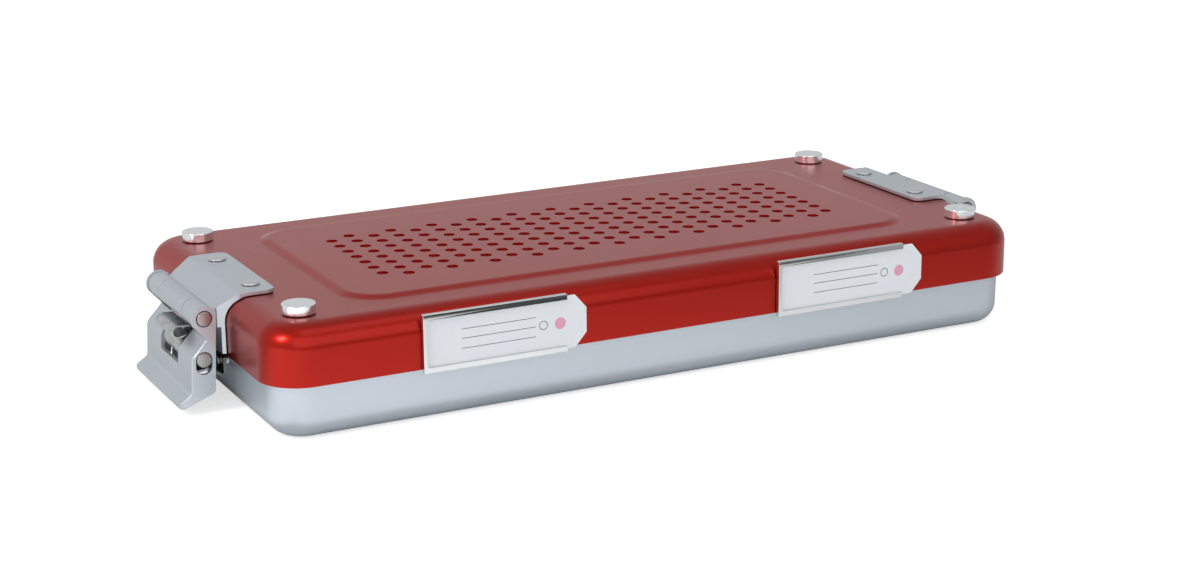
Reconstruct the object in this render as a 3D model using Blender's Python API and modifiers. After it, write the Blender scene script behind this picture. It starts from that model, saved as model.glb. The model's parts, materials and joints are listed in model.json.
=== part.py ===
# Small sterilization container: drawn pan, perforated lid, one over-centre latch at each end.
# The origin is the centre of the pan's underside. X runs along the container, the label side faces -Y, Z is up.
# All sizes are in metres.

import math

import bmesh
import bpy
from mathutils import Matrix, Vector

# The container closed
CLOSED_HEIGHT = 0.0402        # table to the lid's flat top
GAP = 0.0003                  # left between pieces that touch
OVERRUN = 0.0020              # how far a cutter runs past what it cuts
CORNER_STEPS = 5              # facets in each plan corner
EDGE_STEPS = 3                # facets in each pressed edge
BEND_STEPS = 3                # facets in each sheet bend
ROUND_STEPS = 16              # facets round a pin, post or rivet
SMALL_STEPS = 8               # facets round a rivet or a rivet hole

# Lid
LID_LENGTH = 0.3000
LID_WIDTH = 0.1428
LID_CORNER = 0.0153           # plan corner radius
LID_EDGE = 0.0084             # rounding between skirt and top
LID_SKIRT = 0.0206            # flat top down to the lower edge
LID_SHEET = 0.0012
PANEL_INSET_X = 0.0355        # lid's end to the foot of the raised field
PANEL_INSET_Y = 0.0184
PANEL_CORNER = 0.0130
PANEL_RISE = 0.0010
PANEL_SLOPE = 0.0030          # width of the step up to the field

# Vent holes in the raised field: every other column holds one hole less and is shifted half a pitch
VENT_RADIUS = 0.0021
VENT_SIDES = 6
VENT_PITCH_X = 0.00835
VENT_PITCH_Y = 0.00820
VENT_MARGIN_X = 0.0225        # least distance from the field's foot to a hole's centre
VENT_MARGIN_Y = 0.0240

# Gasket in the lid's rounded edge
GASKET_HEIGHT = 0.0059
GASKET_STEPS = 4

# Pan
PAN_INSET = 0.00245           # lid skirt outside to pan wall outside
PAN_TAPER = 0.0004            # how much the wall leans in towards the bottom
PAN_SHEET = 0.0012
PAN_EDGE = 0.0074             # rounding between wall and bottom
RIM_RADIUS = 0.0018           # turned-in rim
RIM_LIP = 0.0034

# Stacking posts, riveted through the lid's corners, and the recesses under the pan that take them
POST_INSET_X = 0.0163         # from the lid's end to the post's axis
POST_INSET_Y = 0.0176
POST_RADIUS = 0.0058
POST_HEIGHT = 0.0036
POST_CHAMFER = 0.0004
POST_SHANK = 0.0022
POST_HEAD = 0.0038            # peened head inside the lid
POST_HEAD_THICK = 0.0009
RECESS_CLEARANCE = 0.0008

# Hinge plate: sheet bent over the lid's end, with a second layer that carries the knuckles
PLATE_HALF = 0.0275
PLATE_SHEET = 0.0013
PLATE_REACH = 0.0180          # how far it lies on the lid's top
PLATE_CORNER = 0.0035
PLATE_DROP = 0.0195           # its lower edge below the lid's flat top
SHOULDER_DROP = 0.0100        # lower edge of the second layer
SHOULDER_TURN = 75.0          # degrees of the bend over which the second layer thickens
KNUCKLE_RADIUS = 0.0042
KNUCKLE_HALF = 0.0243
KNUCKLE_MIDDLE = 0.0136
KNUCKLE_SLIT = 0.0006
PLATE_RIVET_INSET = 0.0120    # from the lid's end
PLATE_RIVET_SPREAD = 0.0180   # from the middle to each rivet
RIVET_SHANK = 0.0015
RIVET_HEAD = 0.0032
RIVET_HEAD_THICK = 0.0010
RIVET_TAIL = 0.0026

# Hinge pin, in a frame at the lid's end: x outwards from the skirt, z from the lid's flat top
PIN_RADIUS = 0.0026
PIN_CLEARANCE = 0.0003
PIN_OUT = 0.0076
PIN_DROP = 0.0061
PIN_PROUD = 0.0003
PIN_CHAMFER = 0.0003

# Latch lever, in a frame on the hinge pin's axis: x outwards, z down to the finger tab
LEVER_LEAN = 3.0              # degrees that the closed lever hangs out from upright
LEVER_HALF = 0.0260
LEVER_SHEET = 0.0014
LEVER_BACK = 0.0041           # axis to the cheeks' back edge
LEVER_FRONT = 0.0045          # axis to the front face
EAR_RADIUS = 0.0044
EAR_END = -38.0               # degrees at which the ear's round meets the throat
THROAT_BACK = 0.0010
THROAT_DROP = 0.0075
FOLD_DROP = 0.0138            # top of the upright front face
FOLD_RADIUS = 0.0030
TAB_ROOT_DROP = 0.0264
TAB_RADIUS = 0.0025
TAB_OUT = 0.0093              # end of the hemmed finger tab
TAB_DROP = 0.0301
TAB_ROUND = 0.0013            # half the hem's thickness
HEEL_DROP = 0.0263
HEEL_RADIUS = 0.0016
LEVER_ROUND = 0.0018          # outside of the folds between front and cheeks
CHEEK_ROUND_SHARE = 0.15      # of that, on the other edges of the cheeks
WINDOW_HALF = 0.0098
WINDOW_SHIFT = 0.0011         # the window, hook and spring sit off the middle
WINDOW_DROP = 0.0193          # lower edge of the window

# Catch pin in the lever's upright slots
CATCH_PIN_DROP = 0.0145
CATCH_PIN_TRAVEL = 0.0023

# Hook strip, round the front of the catch pin and under the pan catch
HOOK_HALF = 0.0090
HOOK_SHEET = 0.0008
HOOK_COVER = 0.0034           # over the pin: axis up to the strip's middle
HOOK_FRONT = 0.0036           # in front of the pin
HOOK_WAIST_BACK = 0.0010
HOOK_WAIST_DROP = 0.0052      # below the catch pin's axis
HOOK_FLOOR_DROP = 0.0089
HOOK_TIP_BACK = 0.0066
HOOK_TIP_RISE = 0.0007
HOOK_BEND = 0.0012

# Hairpin spring between the knuckle and the hook
SPRING_HALF = 0.0090
SPRING_SHEET = 0.0007
SPRING_TOP_DROP = 0.0060
SPRING_OPEN = 0.0040          # between the middles of its two legs
SPRING_BACK = 0.0003
SPRING_NOSE = 0.0062
SPRING_STEPS = 8

# Pan catch: bent strip with an upturned lip, held on spacer rivets
CATCH_HALF = 0.0240
CATCH_SHEET = 0.0011
CATCH_OUT = 0.0005            # its leg, outwards from the lid's skirt
CATCH_TOP_DROP = 0.0214
CATCH_BOTTOM_DROP = 0.0283
CATCH_LIP_OUT = 0.0046
CATCH_LIP_DROP = 0.0257       # foot of the lip
CATCH_LIP_TOP_DROP = 0.0215
CATCH_BEND = 0.0009
CATCH_RIVET_DROP = 0.0240
CATCH_RIVET_SPREAD = 0.0180
CATCH_RIVET_SHANK = 0.0012
CATCH_RIVET_HEAD = 0.0022
CATCH_RIVET_THICK = 0.0008

# Label holders on the front skirt, and their cards
HOLDER_SPREAD = 0.0692        # from the middle to each holder's centre
HOLDER_SHIFT = -0.0013
HOLDER_LENGTH = 0.0540
HOLDER_HEIGHT = 0.0205
HOLDER_DROP = 0.0010          # its top below the lid's flat top
HOLDER_SHEET = 0.0005
HOLDER_LIP = 0.0019
HOLDER_END_LIP = 0.0012
HOLDER_ROUND = 0.0003
CARD_THICK = 0.0004
CARD_SHOWN = 0.0086           # how far the card's tip stands out of the holder
CARD_CUT_LONG = 0.0044
CARD_CUT_HIGH = 0.0055

# Filter and its retainer, inside the lid
FILTER_ROOM_X = 0.0025        # inside the raised field
FILTER_ROOM_Y = 0.0015
FILTER_CORNER = 0.0100
FILTER_THICK = 0.0006
RETAINER_ROOM_X = 0.0024      # to the posts' heads
RETAINER_ROOM_Y = 0.0005      # to the gasket, once slid
RETAINER_CORNER = 0.0110
RETAINER_EDGE = 0.0020
RETAINER_RIM = 0.0032         # height of its turned-down rim
RETAINER_SHEET = 0.0010
FIELD_ROOM_X = 0.0045         # its own raised field that presses on the filter, inside the lid's
FIELD_ROOM_Y = 0.0040
FIELD_CORNER = 0.0100
FIELD_SLOPE = 0.0025
OPEN_RADIUS = 0.0110
OPEN_SIDES = 12
OPEN_MARGIN_X = 0.0240        # least distance from the field's foot to an opening's centre
OPEN_MARGIN_Y = 0.0180
OPEN_PITCH_X = 0.0340
OPEN_PITCH_Y = 0.0290
STUD_INSET = 0.0080           # from the retainer's end
STUD_SPREAD = 0.0300          # from the middle to each stud
STUD_SHANK = 0.0020
STUD_HEAD = 0.0038
STUD_THICK = 0.0008
KEYHOLE_RUN = 0.0065          # travel from locked to free

# Heights that follow from the sizes above
LID_TOP = CLOSED_HEIGHT
LID_UNDER = LID_TOP - LID_SHEET
PAN_HEIGHT = LID_UNDER - GAP - GASKET_HEIGHT - GAP
FILTER_TOP = LID_UNDER + PANEL_RISE - GAP
FIELD_TOP = FILTER_TOP - FILTER_THICK - GAP
STUD_FOOT = LID_UNDER - GAP
RETAINER_TOP = STUD_FOOT - STUD_THICK - GAP
POST_X = LID_LENGTH / 2 - POST_INSET_X
POST_Y = LID_WIDTH / 2 - POST_INSET_Y
PANEL_X = LID_LENGTH / 2 - PANEL_INSET_X
PANEL_Y = LID_WIDTH / 2 - PANEL_INSET_Y
FILTER_X = PANEL_X - PANEL_SLOPE - FILTER_ROOM_X
FILTER_Y = PANEL_Y - PANEL_SLOPE - FILTER_ROOM_Y
FIELD_X = PANEL_X - FIELD_ROOM_X
FIELD_Y = PANEL_Y - FIELD_ROOM_Y
RETAINER_X = POST_X - POST_HEAD - RETAINER_ROOM_X
RETAINER_Y = LID_WIDTH / 2 - LID_EDGE - KEYHOLE_RUN - RETAINER_ROOM_Y
STUD_X = RETAINER_X - STUD_INSET

# Corners seen from above, and the two sides of a latch by the way they face
CORNERS = ((-1, -1), (-1, 1), (1, -1), (1, 1))
CORNER_NAMES = ("front_left", "rear_left", "front_right", "rear_right")

parts = bpy.data.collections.new("sterilization_container")
cutters = bpy.data.collections.new("cutters")


# Finishes

def finish(name, colour, roughness, metallic):
    material = bpy.data.materials.new(name)
    material.use_nodes = True
    shader = material.node_tree.nodes["Principled BSDF"]
    shader.inputs["Base Color"].default_value = (*colour, 1.0)
    shader.inputs["Roughness"].default_value = roughness
    shader.inputs["Metallic"].default_value = metallic
    material.diffuse_color = (*colour, 1.0)
    return material


# Objects, sheets and turned pieces

def place(name, mesh, material=None, parent=None):
    """An object of this mesh: a part with a finish, or a cutter without one."""
    piece = bpy.data.objects.new(name, mesh)
    piece.parent = parent
    if material is None:
        cutters.objects.link(piece)
        piece.hide_render = True
        piece.display_type = "WIRE"
    else:
        mesh.materials.append(material)
        parts.objects.link(piece)
    return piece


def mesh_of(name, shape):
    mesh = bpy.data.meshes.new(name)
    shape.to_mesh(mesh)
    shape.free()
    return mesh


def smooth(piece, angle=35.0):
    piece.data.shade_smooth()
    piece.data.set_sharp_from_angle(angle=math.radians(angle))
    return piece


def solidify(piece, thickness, offset=-1.0):
    wall = piece.modifiers.new("sheet", "SOLIDIFY")
    wall.thickness = thickness
    wall.offset = offset
    wall.use_even_offset = True
    return piece


def bevel(piece, width, segments=2, angle=40.0):
    rounding = piece.modifiers.new("round", "BEVEL")
    rounding.width = width
    rounding.segments = segments
    rounding.limit_method = "ANGLE"
    rounding.angle_limit = math.radians(angle)
    return piece


def boolean(piece, other, operation):
    step = piece.modifiers.new(operation.lower(), "BOOLEAN")
    step.operation = operation
    step.object = other
    step.solver = "EXACT"
    return piece


def ring(half_x, half_y, corner, height):
    """A level rounded rectangle, counter-clockwise seen from above."""
    points = []
    for turn, (sx, sy) in enumerate(((1, 1), (-1, 1), (-1, -1), (1, -1))):
        for step in range(CORNER_STEPS + 1):
            angle = math.radians(90.0) * (turn + step / CORNER_STEPS)
            points.append(Vector((sx * (half_x - corner) + corner * math.cos(angle),
                                  sy * (half_y - corner) + corner * math.sin(angle), height)))
    return points


def loft(name, rings, cap_first=False, cap_last=False, closed=False):
    """Joins level rings into one skin; the rings of a wall that faces out run upwards."""
    shape = bmesh.new()
    loops = [[shape.verts.new(point) for point in points] for points in rings]
    pairs = list(zip(loops, loops[1:])) + ([(loops[-1], loops[0])] if closed else [])
    for lower, upper in pairs:
        for i in range(len(lower)):
            j = (i + 1) % len(lower)
            shape.faces.new((lower[i], lower[j], upper[j], upper[i]))
    if cap_first:
        shape.faces.new(loops[0][::-1])
    if cap_last:
        shape.faces.new(loops[-1])
    return mesh_of(name, shape)


def pressed_tray(name, half_x, half_y, corner, edge, bottom, top, field):
    """Open tray, mouth down: skirt, rounded edge, flat top and a raised field with a sloped step."""
    field_x, field_y, field_corner, rise, slope = field
    rings = [ring(half_x, half_y, corner, bottom)]
    for step in range(EDGE_STEPS + 1):
        angle = math.radians(90.0) * step / EDGE_STEPS
        inset = edge * (1 - math.cos(angle))
        rings.append(ring(half_x - inset, half_y - inset, corner - inset,
                          top - edge * (1 - math.sin(angle))))
    rings.append(ring(field_x, field_y, field_corner, top))
    rings.append(ring(field_x - slope, field_y - slope, field_corner - slope, top + rise))
    return loft(name, rings, cap_last=True)


def arc(centre_x, centre_z, radius, start, end, steps):
    """Points on an arc in the XZ plane, angles in degrees from +X towards +Z."""
    points = []
    for step in range(steps + 1):
        angle = math.radians(start + (end - start) * step / steps)
        points.append((centre_x + radius * math.cos(angle), centre_z + radius * math.sin(angle)))
    return points


def fillet(path, radii):
    """The path with its inner corners rounded to the given radii."""
    result = [path[0]]
    for before, corner, after, radius in zip(path, path[1:], path[2:], radii):
        here = Vector(corner)
        back = (Vector(before) - here).normalized()
        ahead = (Vector(after) - here).normalized()
        half = back.angle(ahead) / 2
        centre = here + (back + ahead).normalized() * radius / math.sin(half)
        first = here + back * radius / math.tan(half) - centre
        turn = math.pi - 2 * half
        if back.x * ahead.y - back.y * ahead.x > 0:
            turn = -turn
        for step in range(BEND_STEPS + 1):
            angle = turn * step / BEND_STEPS
            result.append((centre.x + first.x * math.cos(angle) - first.y * math.sin(angle),
                           centre.y + first.x * math.sin(angle) + first.y * math.cos(angle)))
    result.append(path[-1])
    return result


def beside(path, distance):
    """The path moved sideways, to the left of its travel for a positive distance."""
    moved = []
    for i, point in enumerate(path):
        before = Vector(path[max(i - 1, 0)])
        after = Vector(path[min(i + 1, len(path) - 1)])
        here = Vector(point)
        into = (here - before if i > 0 else after - here).normalized()
        away = (after - here if i < len(path) - 1 else here - before).normalized()
        normal = (into + away).normalized()
        normal = Vector((-normal.y, normal.x))
        mitre = distance / normal.dot(Vector((-into.y, into.x)))
        moved.append(tuple(here + normal * mitre))
    return moved


def bent_strip(name, path, half_width, material, parent, thickness, shift=0.0):
    """Sheet of this thickness whose middle follows a path in the XZ plane."""
    shape = bmesh.new()
    rows = [[shape.verts.new((x, shift + side * half_width, z)) for side in (-1, 1)] for x, z in path]
    for (a, b), (c, d) in zip(rows, rows[1:]):
        shape.faces.new((a, b, d, c))
    return smooth(solidify(place(name, mesh_of(name, shape), material, parent), thickness, 0.0))


def outline_solid(name, outline, half_thickness, material=None, parent=None):
    """A flat outline in the XZ plane, made thick to both sides of it along Y."""
    curve = bpy.data.curves.new(name, "CURVE")
    curve.dimensions = "2D"
    curve.fill_mode = "BOTH"
    curve.extrude = half_thickness
    spline = curve.splines.new("POLY")
    spline.points.add(len(outline) - 1)
    for point, (x, z) in zip(spline.points, outline):
        point.co = (x, z, 0.0, 1.0)
    spline.use_cyclic_u = True
    drawing = bpy.data.objects.new(name + "_outline", curve)
    bpy.context.scene.collection.objects.link(drawing)
    drawing.rotation_euler.x = math.radians(90.0)
    bpy.context.view_layer.update()
    flat = drawing.evaluated_get(bpy.context.evaluated_depsgraph_get())
    shape = bmesh.new()
    shape.from_mesh(bpy.data.meshes.new_from_object(flat))
    bmesh.ops.transform(shape, matrix=drawing.matrix_world, verts=shape.verts)
    bmesh.ops.remove_doubles(shape, verts=shape.verts, dist=GAP / 100)
    bmesh.ops.dissolve_limit(shape, angle_limit=math.radians(0.5), verts=shape.verts, edges=shape.edges)
    bmesh.ops.recalc_face_normals(shape, faces=shape.faces)
    bpy.data.objects.remove(drawing)
    return place(name, mesh_of(name, shape), material, parent)


def block(name, low, high, material=None, parent=None):
    shape = bmesh.new()
    size = Vector(high) - Vector(low)
    middle = (Vector(high) + Vector(low)) / 2
    bmesh.ops.create_cube(shape, size=1.0, matrix=Matrix.Translation(middle) @ Matrix.Diagonal((*size, 1.0)))
    return place(name, mesh_of(name, shape), material, parent)


def cylinders(name, places, radius, low, high, sides, axis="Z", parent=None, material=None):
    """Equal cylinders in one object, standing at (u, v) places across the axis."""
    shape = bmesh.new()
    turn = {"Z": Matrix(), "Y": Matrix.Rotation(math.radians(90.0), 4, "X"),
            "X": Matrix.Rotation(math.radians(90.0), 4, "Y")}[axis]
    for u, v in places:
        middle = {"Z": Vector((u, v, (low + high) / 2)), "Y": Vector((u, (low + high) / 2, v)),
                  "X": Vector(((low + high) / 2, u, v))}[axis]
        bmesh.ops.create_cone(shape, cap_ends=True, segments=sides, radius1=radius, radius2=radius,
                              depth=high - low, matrix=Matrix.Translation(middle) @ turn)
    return place(name, mesh_of(name, shape), material, parent)


def turned(names, profile, spots, material, steps, turn=(0.0, 0.0, 0.0), parent=None):
    """Equal turned solids, one for each name, from a profile of (radius, height) down its outer side."""
    shape = bmesh.new()
    points = [shape.verts.new((radius, 0.0, height)) for radius, height in profile]
    for a, b in zip(points, points[1:]):
        shape.edges.new((a, b))
    lathe = bpy.data.objects.new(names[0] + "_lathe", mesh_of(names[0] + "_lathe", shape))
    bpy.context.scene.collection.objects.link(lathe)
    screw = lathe.modifiers.new("turn", "SCREW")
    screw.steps = screw.render_steps = steps
    screw.use_merge_vertices = True
    screw.merge_threshold = GAP / 100
    bpy.context.view_layer.update()
    mesh = bpy.data.meshes.new_from_object(lathe.evaluated_get(bpy.context.evaluated_depsgraph_get()))
    bpy.data.objects.remove(lathe)
    mesh.materials.clear()
    mesh.materials.append(material)
    for name, spot in zip(names, spots):
        piece = bpy.data.objects.new(name, mesh)
        parts.objects.link(piece)
        piece.parent = parent
        piece.location = spot
        piece.rotation_euler = turn
        smooth(piece)


# Pan

def pan_wall(height):
    """Outside of the pan's wall at this height, inwards from the lid's skirt."""
    return PAN_INSET + PAN_TAPER * (1 - height / PAN_HEIGHT)


def make_pan(silver):
    half_x, half_y = LID_LENGTH / 2, LID_WIDTH / 2
    low = pan_wall(PAN_EDGE)
    rings = []
    for step in range(EDGE_STEPS + 1):
        angle = math.radians(90.0) * step / EDGE_STEPS
        inset = low + PAN_EDGE * (1 - math.sin(angle))
        rings.append(ring(half_x - inset, half_y - inset, LID_CORNER - inset, PAN_EDGE * (1 - math.cos(angle))))
    for step in range(EDGE_STEPS + 1):
        angle = math.radians(90.0) * step / EDGE_STEPS
        inset = PAN_INSET + RIM_RADIUS * (1 - math.cos(angle))
        rings.append(ring(half_x - inset, half_y - inset, LID_CORNER - inset,
                          PAN_HEIGHT - RIM_RADIUS * (1 - math.sin(angle))))
    inset = PAN_INSET + RIM_LIP
    rings.append(ring(half_x - inset, half_y - inset, LID_CORNER - inset, PAN_HEIGHT))
    pan = place("pan_shell", loft("pan_shell", rings, cap_first=True), silver)
    solidify(pan, PAN_SHEET)

    corners = [(sx * POST_X, sy * POST_Y) for sx, sy in CORNERS]
    recess = POST_RADIUS + RECESS_CLEARANCE
    depth = POST_HEIGHT + GAP
    boss = cylinders("recess_boss", corners, recess + PAN_SHEET, PAN_SHEET / 2, depth + PAN_SHEET, ROUND_STEPS)
    hollow = cylinders("recess_hollow", corners, recess, -OVERRUN, depth, ROUND_STEPS)
    boolean(pan, boss, "UNION")
    boolean(pan, hollow, "DIFFERENCE")
    return smooth(pan)


# Lid

def vent_places():
    reach = math.floor((PANEL_X - VENT_MARGIN_X) / VENT_PITCH_X)
    most = 2 * math.floor((PANEL_Y - VENT_MARGIN_Y) / VENT_PITCH_Y + 0.5)
    places = []
    for column in range(-reach, reach + 1):
        rows = most - (column + reach + 1) % 2
        for row in range(rows):
            places.append((column * VENT_PITCH_X, (row - (rows - 1) / 2) * VENT_PITCH_Y))
    return places


def make_lid(red):
    field = (PANEL_X, PANEL_Y, PANEL_CORNER, PANEL_RISE, PANEL_SLOPE)
    mesh = pressed_tray("lid_shell", LID_LENGTH / 2, LID_WIDTH / 2, LID_CORNER, LID_EDGE,
                        LID_TOP - LID_SKIRT, LID_TOP, field)
    lid = solidify(place("lid_shell", mesh, red), LID_SHEET)
    low, high = LID_UNDER - OVERRUN, LID_TOP + PANEL_RISE + OVERRUN
    posts = [(sx * POST_X, sy * POST_Y) for sx, sy in CORNERS]
    rivet_x = LID_LENGTH / 2 - PLATE_RIVET_INSET
    rivets = [(sx * rivet_x, sy * PLATE_RIVET_SPREAD) for sx, sy in CORNERS]
    boolean(lid, cylinders("vents", vent_places(), VENT_RADIUS, low, high, VENT_SIDES), "DIFFERENCE")
    boolean(lid, cylinders("post_holes", posts, POST_SHANK + GAP, low, high, SMALL_STEPS), "DIFFERENCE")
    boolean(lid, cylinders("rivet_holes", rivets, RIVET_SHANK + GAP, low, high, SMALL_STEPS), "DIFFERENCE")
    return smooth(lid)


def make_gasket(silicone):
    """Ring that fills the lid's rounded edge and lies over the pan's rim."""
    reach = LID_EDGE - LID_SHEET - GAP
    centre = LID_TOP - LID_EDGE
    bottom = PAN_HEIGHT + GAP
    start = math.degrees(math.asin((bottom - centre) / reach))
    section = [(LID_EDGE - x, z) for x, z in arc(0.0, centre, reach, start, 90.0, GASKET_STEPS)]
    section.append((LID_EDGE, bottom))
    rings = [ring(LID_LENGTH / 2 - inset, LID_WIDTH / 2 - inset, LID_CORNER - inset, height)
             for inset, height in section]
    return smooth(place("lid_gasket", loft("lid_gasket", rings, closed=True), silicone))


def make_posts(polished):
    top, foot = LID_TOP + POST_HEIGHT, LID_TOP + GAP
    tail = LID_UNDER - GAP
    profile = [(0.0, top), (POST_RADIUS - POST_CHAMFER, top), (POST_RADIUS, top - POST_CHAMFER),
               (POST_RADIUS, foot), (POST_SHANK, foot), (POST_SHANK, tail), (POST_HEAD, tail),
               (POST_HEAD - POST_CHAMFER, tail - POST_HEAD_THICK), (0.0, tail - POST_HEAD_THICK)]
    names = [f"stack_post_{corner}" for corner in CORNER_NAMES]
    turned(names, profile, [(sx * POST_X, sy * POST_Y, 0.0) for sx, sy in CORNERS], polished, ROUND_STEPS)


# Filter and retainer

def keyhole():
    """Outline in the retainer: a narrow slot that ends on the stud, and a round hole for its head."""
    wide, narrow = STUD_HEAD + 2 * GAP, STUD_SHANK + GAP
    open_angle = math.degrees(math.asin(narrow / wide))
    turn = arc(0.0, -KEYHOLE_RUN, wide, 90.0 + open_angle, 450.0 - open_angle, SMALL_STEPS)
    return turn + arc(0.0, 0.0, narrow, 0.0, 180.0, BEND_STEPS * 2)


def make_retainer(silver, paper):
    sheet = [ring(FILTER_X, FILTER_Y, FILTER_CORNER, height)
             for height in (FILTER_TOP - FILTER_THICK, FILTER_TOP)]
    place("filter_sheet", loft("filter_sheet", sheet, cap_first=True, cap_last=True), paper)

    field = (FIELD_X, FIELD_Y, FIELD_CORNER, FIELD_TOP - RETAINER_TOP, FIELD_SLOPE)
    mesh = pressed_tray("filter_retainer", RETAINER_X, RETAINER_Y, RETAINER_CORNER, RETAINER_EDGE,
                        RETAINER_TOP - RETAINER_RIM, RETAINER_TOP, field)
    retainer = solidify(place("filter_retainer", mesh, silver), RETAINER_SHEET)
    columns = 2 * math.floor((FIELD_X - OPEN_MARGIN_X) / OPEN_PITCH_X + 0.5)
    reach = math.floor((FIELD_Y - OPEN_MARGIN_Y) / OPEN_PITCH_Y)
    openings = [((column - (columns - 1) / 2) * OPEN_PITCH_X, row * OPEN_PITCH_Y)
                for column in range(columns) for row in range(-reach, reach + 1)]
    low, high = RETAINER_TOP - RETAINER_SHEET - OVERRUN, FIELD_TOP + OVERRUN
    boolean(retainer, cylinders("retainer_openings", openings, OPEN_RADIUS, low, high, OPEN_SIDES), "DIFFERENCE")
    for corner, (sx, sy) in zip(CORNER_NAMES, CORNERS):
        slot = outline_solid(f"keyhole_{corner}", keyhole(), (high - low) / 2)
        slot.rotation_euler.x = math.radians(-90.0)
        slot.location = (sx * STUD_X, sy * STUD_SPREAD, (low + high) / 2)
        boolean(retainer, slot, "DIFFERENCE")
    smooth(retainer)

    hung = RETAINER_TOP - RETAINER_SHEET - GAP
    profile = [(0.0, STUD_FOOT), (STUD_HEAD, STUD_FOOT), (STUD_HEAD, STUD_FOOT - STUD_THICK),
               (STUD_SHANK, STUD_FOOT - STUD_THICK), (STUD_SHANK, hung), (STUD_HEAD, hung),
               (STUD_HEAD, hung - STUD_THICK), (0.0, hung - STUD_THICK)]
    names = [f"retainer_stud_{corner}" for corner in CORNER_NAMES]
    turned(names, profile, [(sx * STUD_X, sy * STUD_SPREAD, 0.0) for sx, sy in CORNERS], silver, SMALL_STEPS)


# Latches, built in a frame at the lid's end and turned round for the left one

def sides_of(end):
    """Names of the two sides of a latch, in the order of its own -Y and +Y."""
    return ("front", "rear") if end == "right" else ("rear", "front")


def plate_bend(radius, start, end, extra=0.0):
    """Arc round the lid's edge, from start to end in degrees, that grows by extra where it stands upright."""
    points = []
    for step in range(EDGE_STEPS * 2 + 1):
        angle = start + (end - start) * step / (EDGE_STEPS * 2)
        reach = radius + extra * max(0.0, 1 - angle / SHOULDER_TURN)
        points.append((reach * math.cos(math.radians(angle)) - LID_EDGE,
                       reach * math.sin(math.radians(angle)) - LID_EDGE))
    return points


def make_hinge_plate(end, grey, steel, polished, frame):
    name = f"hinge_plate_{end}"
    inner, outer = LID_EDGE + GAP, LID_EDGE + GAP + PLATE_SHEET
    face, shoulder = GAP + PLATE_SHEET, GAP + 2 * PLATE_SHEET
    section = [(-PLATE_REACH, GAP), (-PLATE_REACH, face)]
    section += plate_bend(outer, 90.0, 0.0, PLATE_SHEET)
    section += [(shoulder, -SHOULDER_DROP), (face, -SHOULDER_DROP), (face, -PLATE_DROP), (GAP, -PLATE_DROP)]
    section += plate_bend(inner, 0.0, 90.0)
    plate = outline_solid(name, section, PLATE_HALF, grey, frame)
    far = PIN_OUT + 2 * KNUCKLE_RADIUS
    sheet = [ring((PLATE_REACH + far) / 2, PLATE_HALF, PLATE_CORNER, height) for height in (-2 * PLATE_DROP, PLATE_DROP)]
    blank = place(f"plate_blank_{end}", loft(f"plate_blank_{end}", sheet, cap_first=True, cap_last=True), None, frame)
    blank.location.x = (far - PLATE_REACH) / 2
    boolean(plate, blank, "INTERSECT")

    wrap = arc(PIN_OUT, -PIN_DROP, KNUCKLE_RADIUS, 100.0, -110.0, ROUND_STEPS // 2 + 2)
    middle = LID_EDGE + GAP + PLATE_SHEET / 2
    knuckle = wrap + [(middle - LID_EDGE, -SHOULDER_DROP)] + plate_bend(middle, 0.0, SHOULDER_TURN / 2)
    barrel = outline_solid(f"knuckles_{end}", knuckle, KNUCKLE_HALF, parent=frame)
    for index, side in enumerate((-1, 1)):
        at = side * KNUCKLE_MIDDLE
        slit = block(f"slit_{end}_{index}", (shoulder, at - KNUCKLE_SLIT / 2, -PIN_DROP - KNUCKLE_RADIUS - OVERRUN),
                     (far, at + KNUCKLE_SLIT / 2, OVERRUN), parent=frame)
        boolean(barrel, slit, "DIFFERENCE")
    boolean(plate, barrel, "UNION")
    bore = cylinders(f"plate_bore_{end}", [(PIN_OUT, -PIN_DROP)], PIN_RADIUS + PIN_CLEARANCE,
                     -PLATE_HALF - OVERRUN, PLATE_HALF + OVERRUN, ROUND_STEPS, "Y", frame)
    boolean(plate, bore, "DIFFERENCE")
    spots = [(-PLATE_RIVET_INSET, side * PLATE_RIVET_SPREAD) for side in (-1, 1)]
    holes = cylinders(f"plate_holes_{end}", spots, RIVET_SHANK + GAP, -OVERRUN, PLATE_SHEET + OVERRUN,
                      SMALL_STEPS, parent=frame)
    boolean(plate, holes, "DIFFERENCE")
    smooth(plate)

    seat, tail = GAP + PLATE_SHEET + GAP, -LID_SHEET - GAP
    profile = [(0.0, seat + RIVET_HEAD_THICK), (RIVET_HEAD / 2, seat + RIVET_HEAD_THICK * 0.9),
               (RIVET_HEAD, seat + RIVET_HEAD_THICK / 3), (RIVET_HEAD, seat), (RIVET_SHANK, seat),
               (RIVET_SHANK, tail), (RIVET_TAIL, tail), (RIVET_TAIL, tail - RIVET_HEAD_THICK),
               (0.0, tail - RIVET_HEAD_THICK)]
    names = [f"plate_rivet_{side}_{end}" for side in sides_of(end)]
    turned(names, profile, [(x, y, 0.0) for x, y in spots], polished, SMALL_STEPS, parent=frame)
    make_pin(f"hinge_pin_{end}", (PIN_OUT, 0.0, -PIN_DROP), steel, frame)


def make_pin(name, spot, steel, frame):
    half = LEVER_HALF + PIN_PROUD
    profile = [(0.0, half), (PIN_RADIUS - PIN_CHAMFER, half), (PIN_RADIUS, half - PIN_CHAMFER),
               (PIN_RADIUS, PIN_CHAMFER - half), (PIN_RADIUS - PIN_CHAMFER, -half), (0.0, -half)]
    turned([name], profile, [spot], steel, ROUND_STEPS, (math.radians(90.0), 0.0, 0.0), frame)


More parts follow.
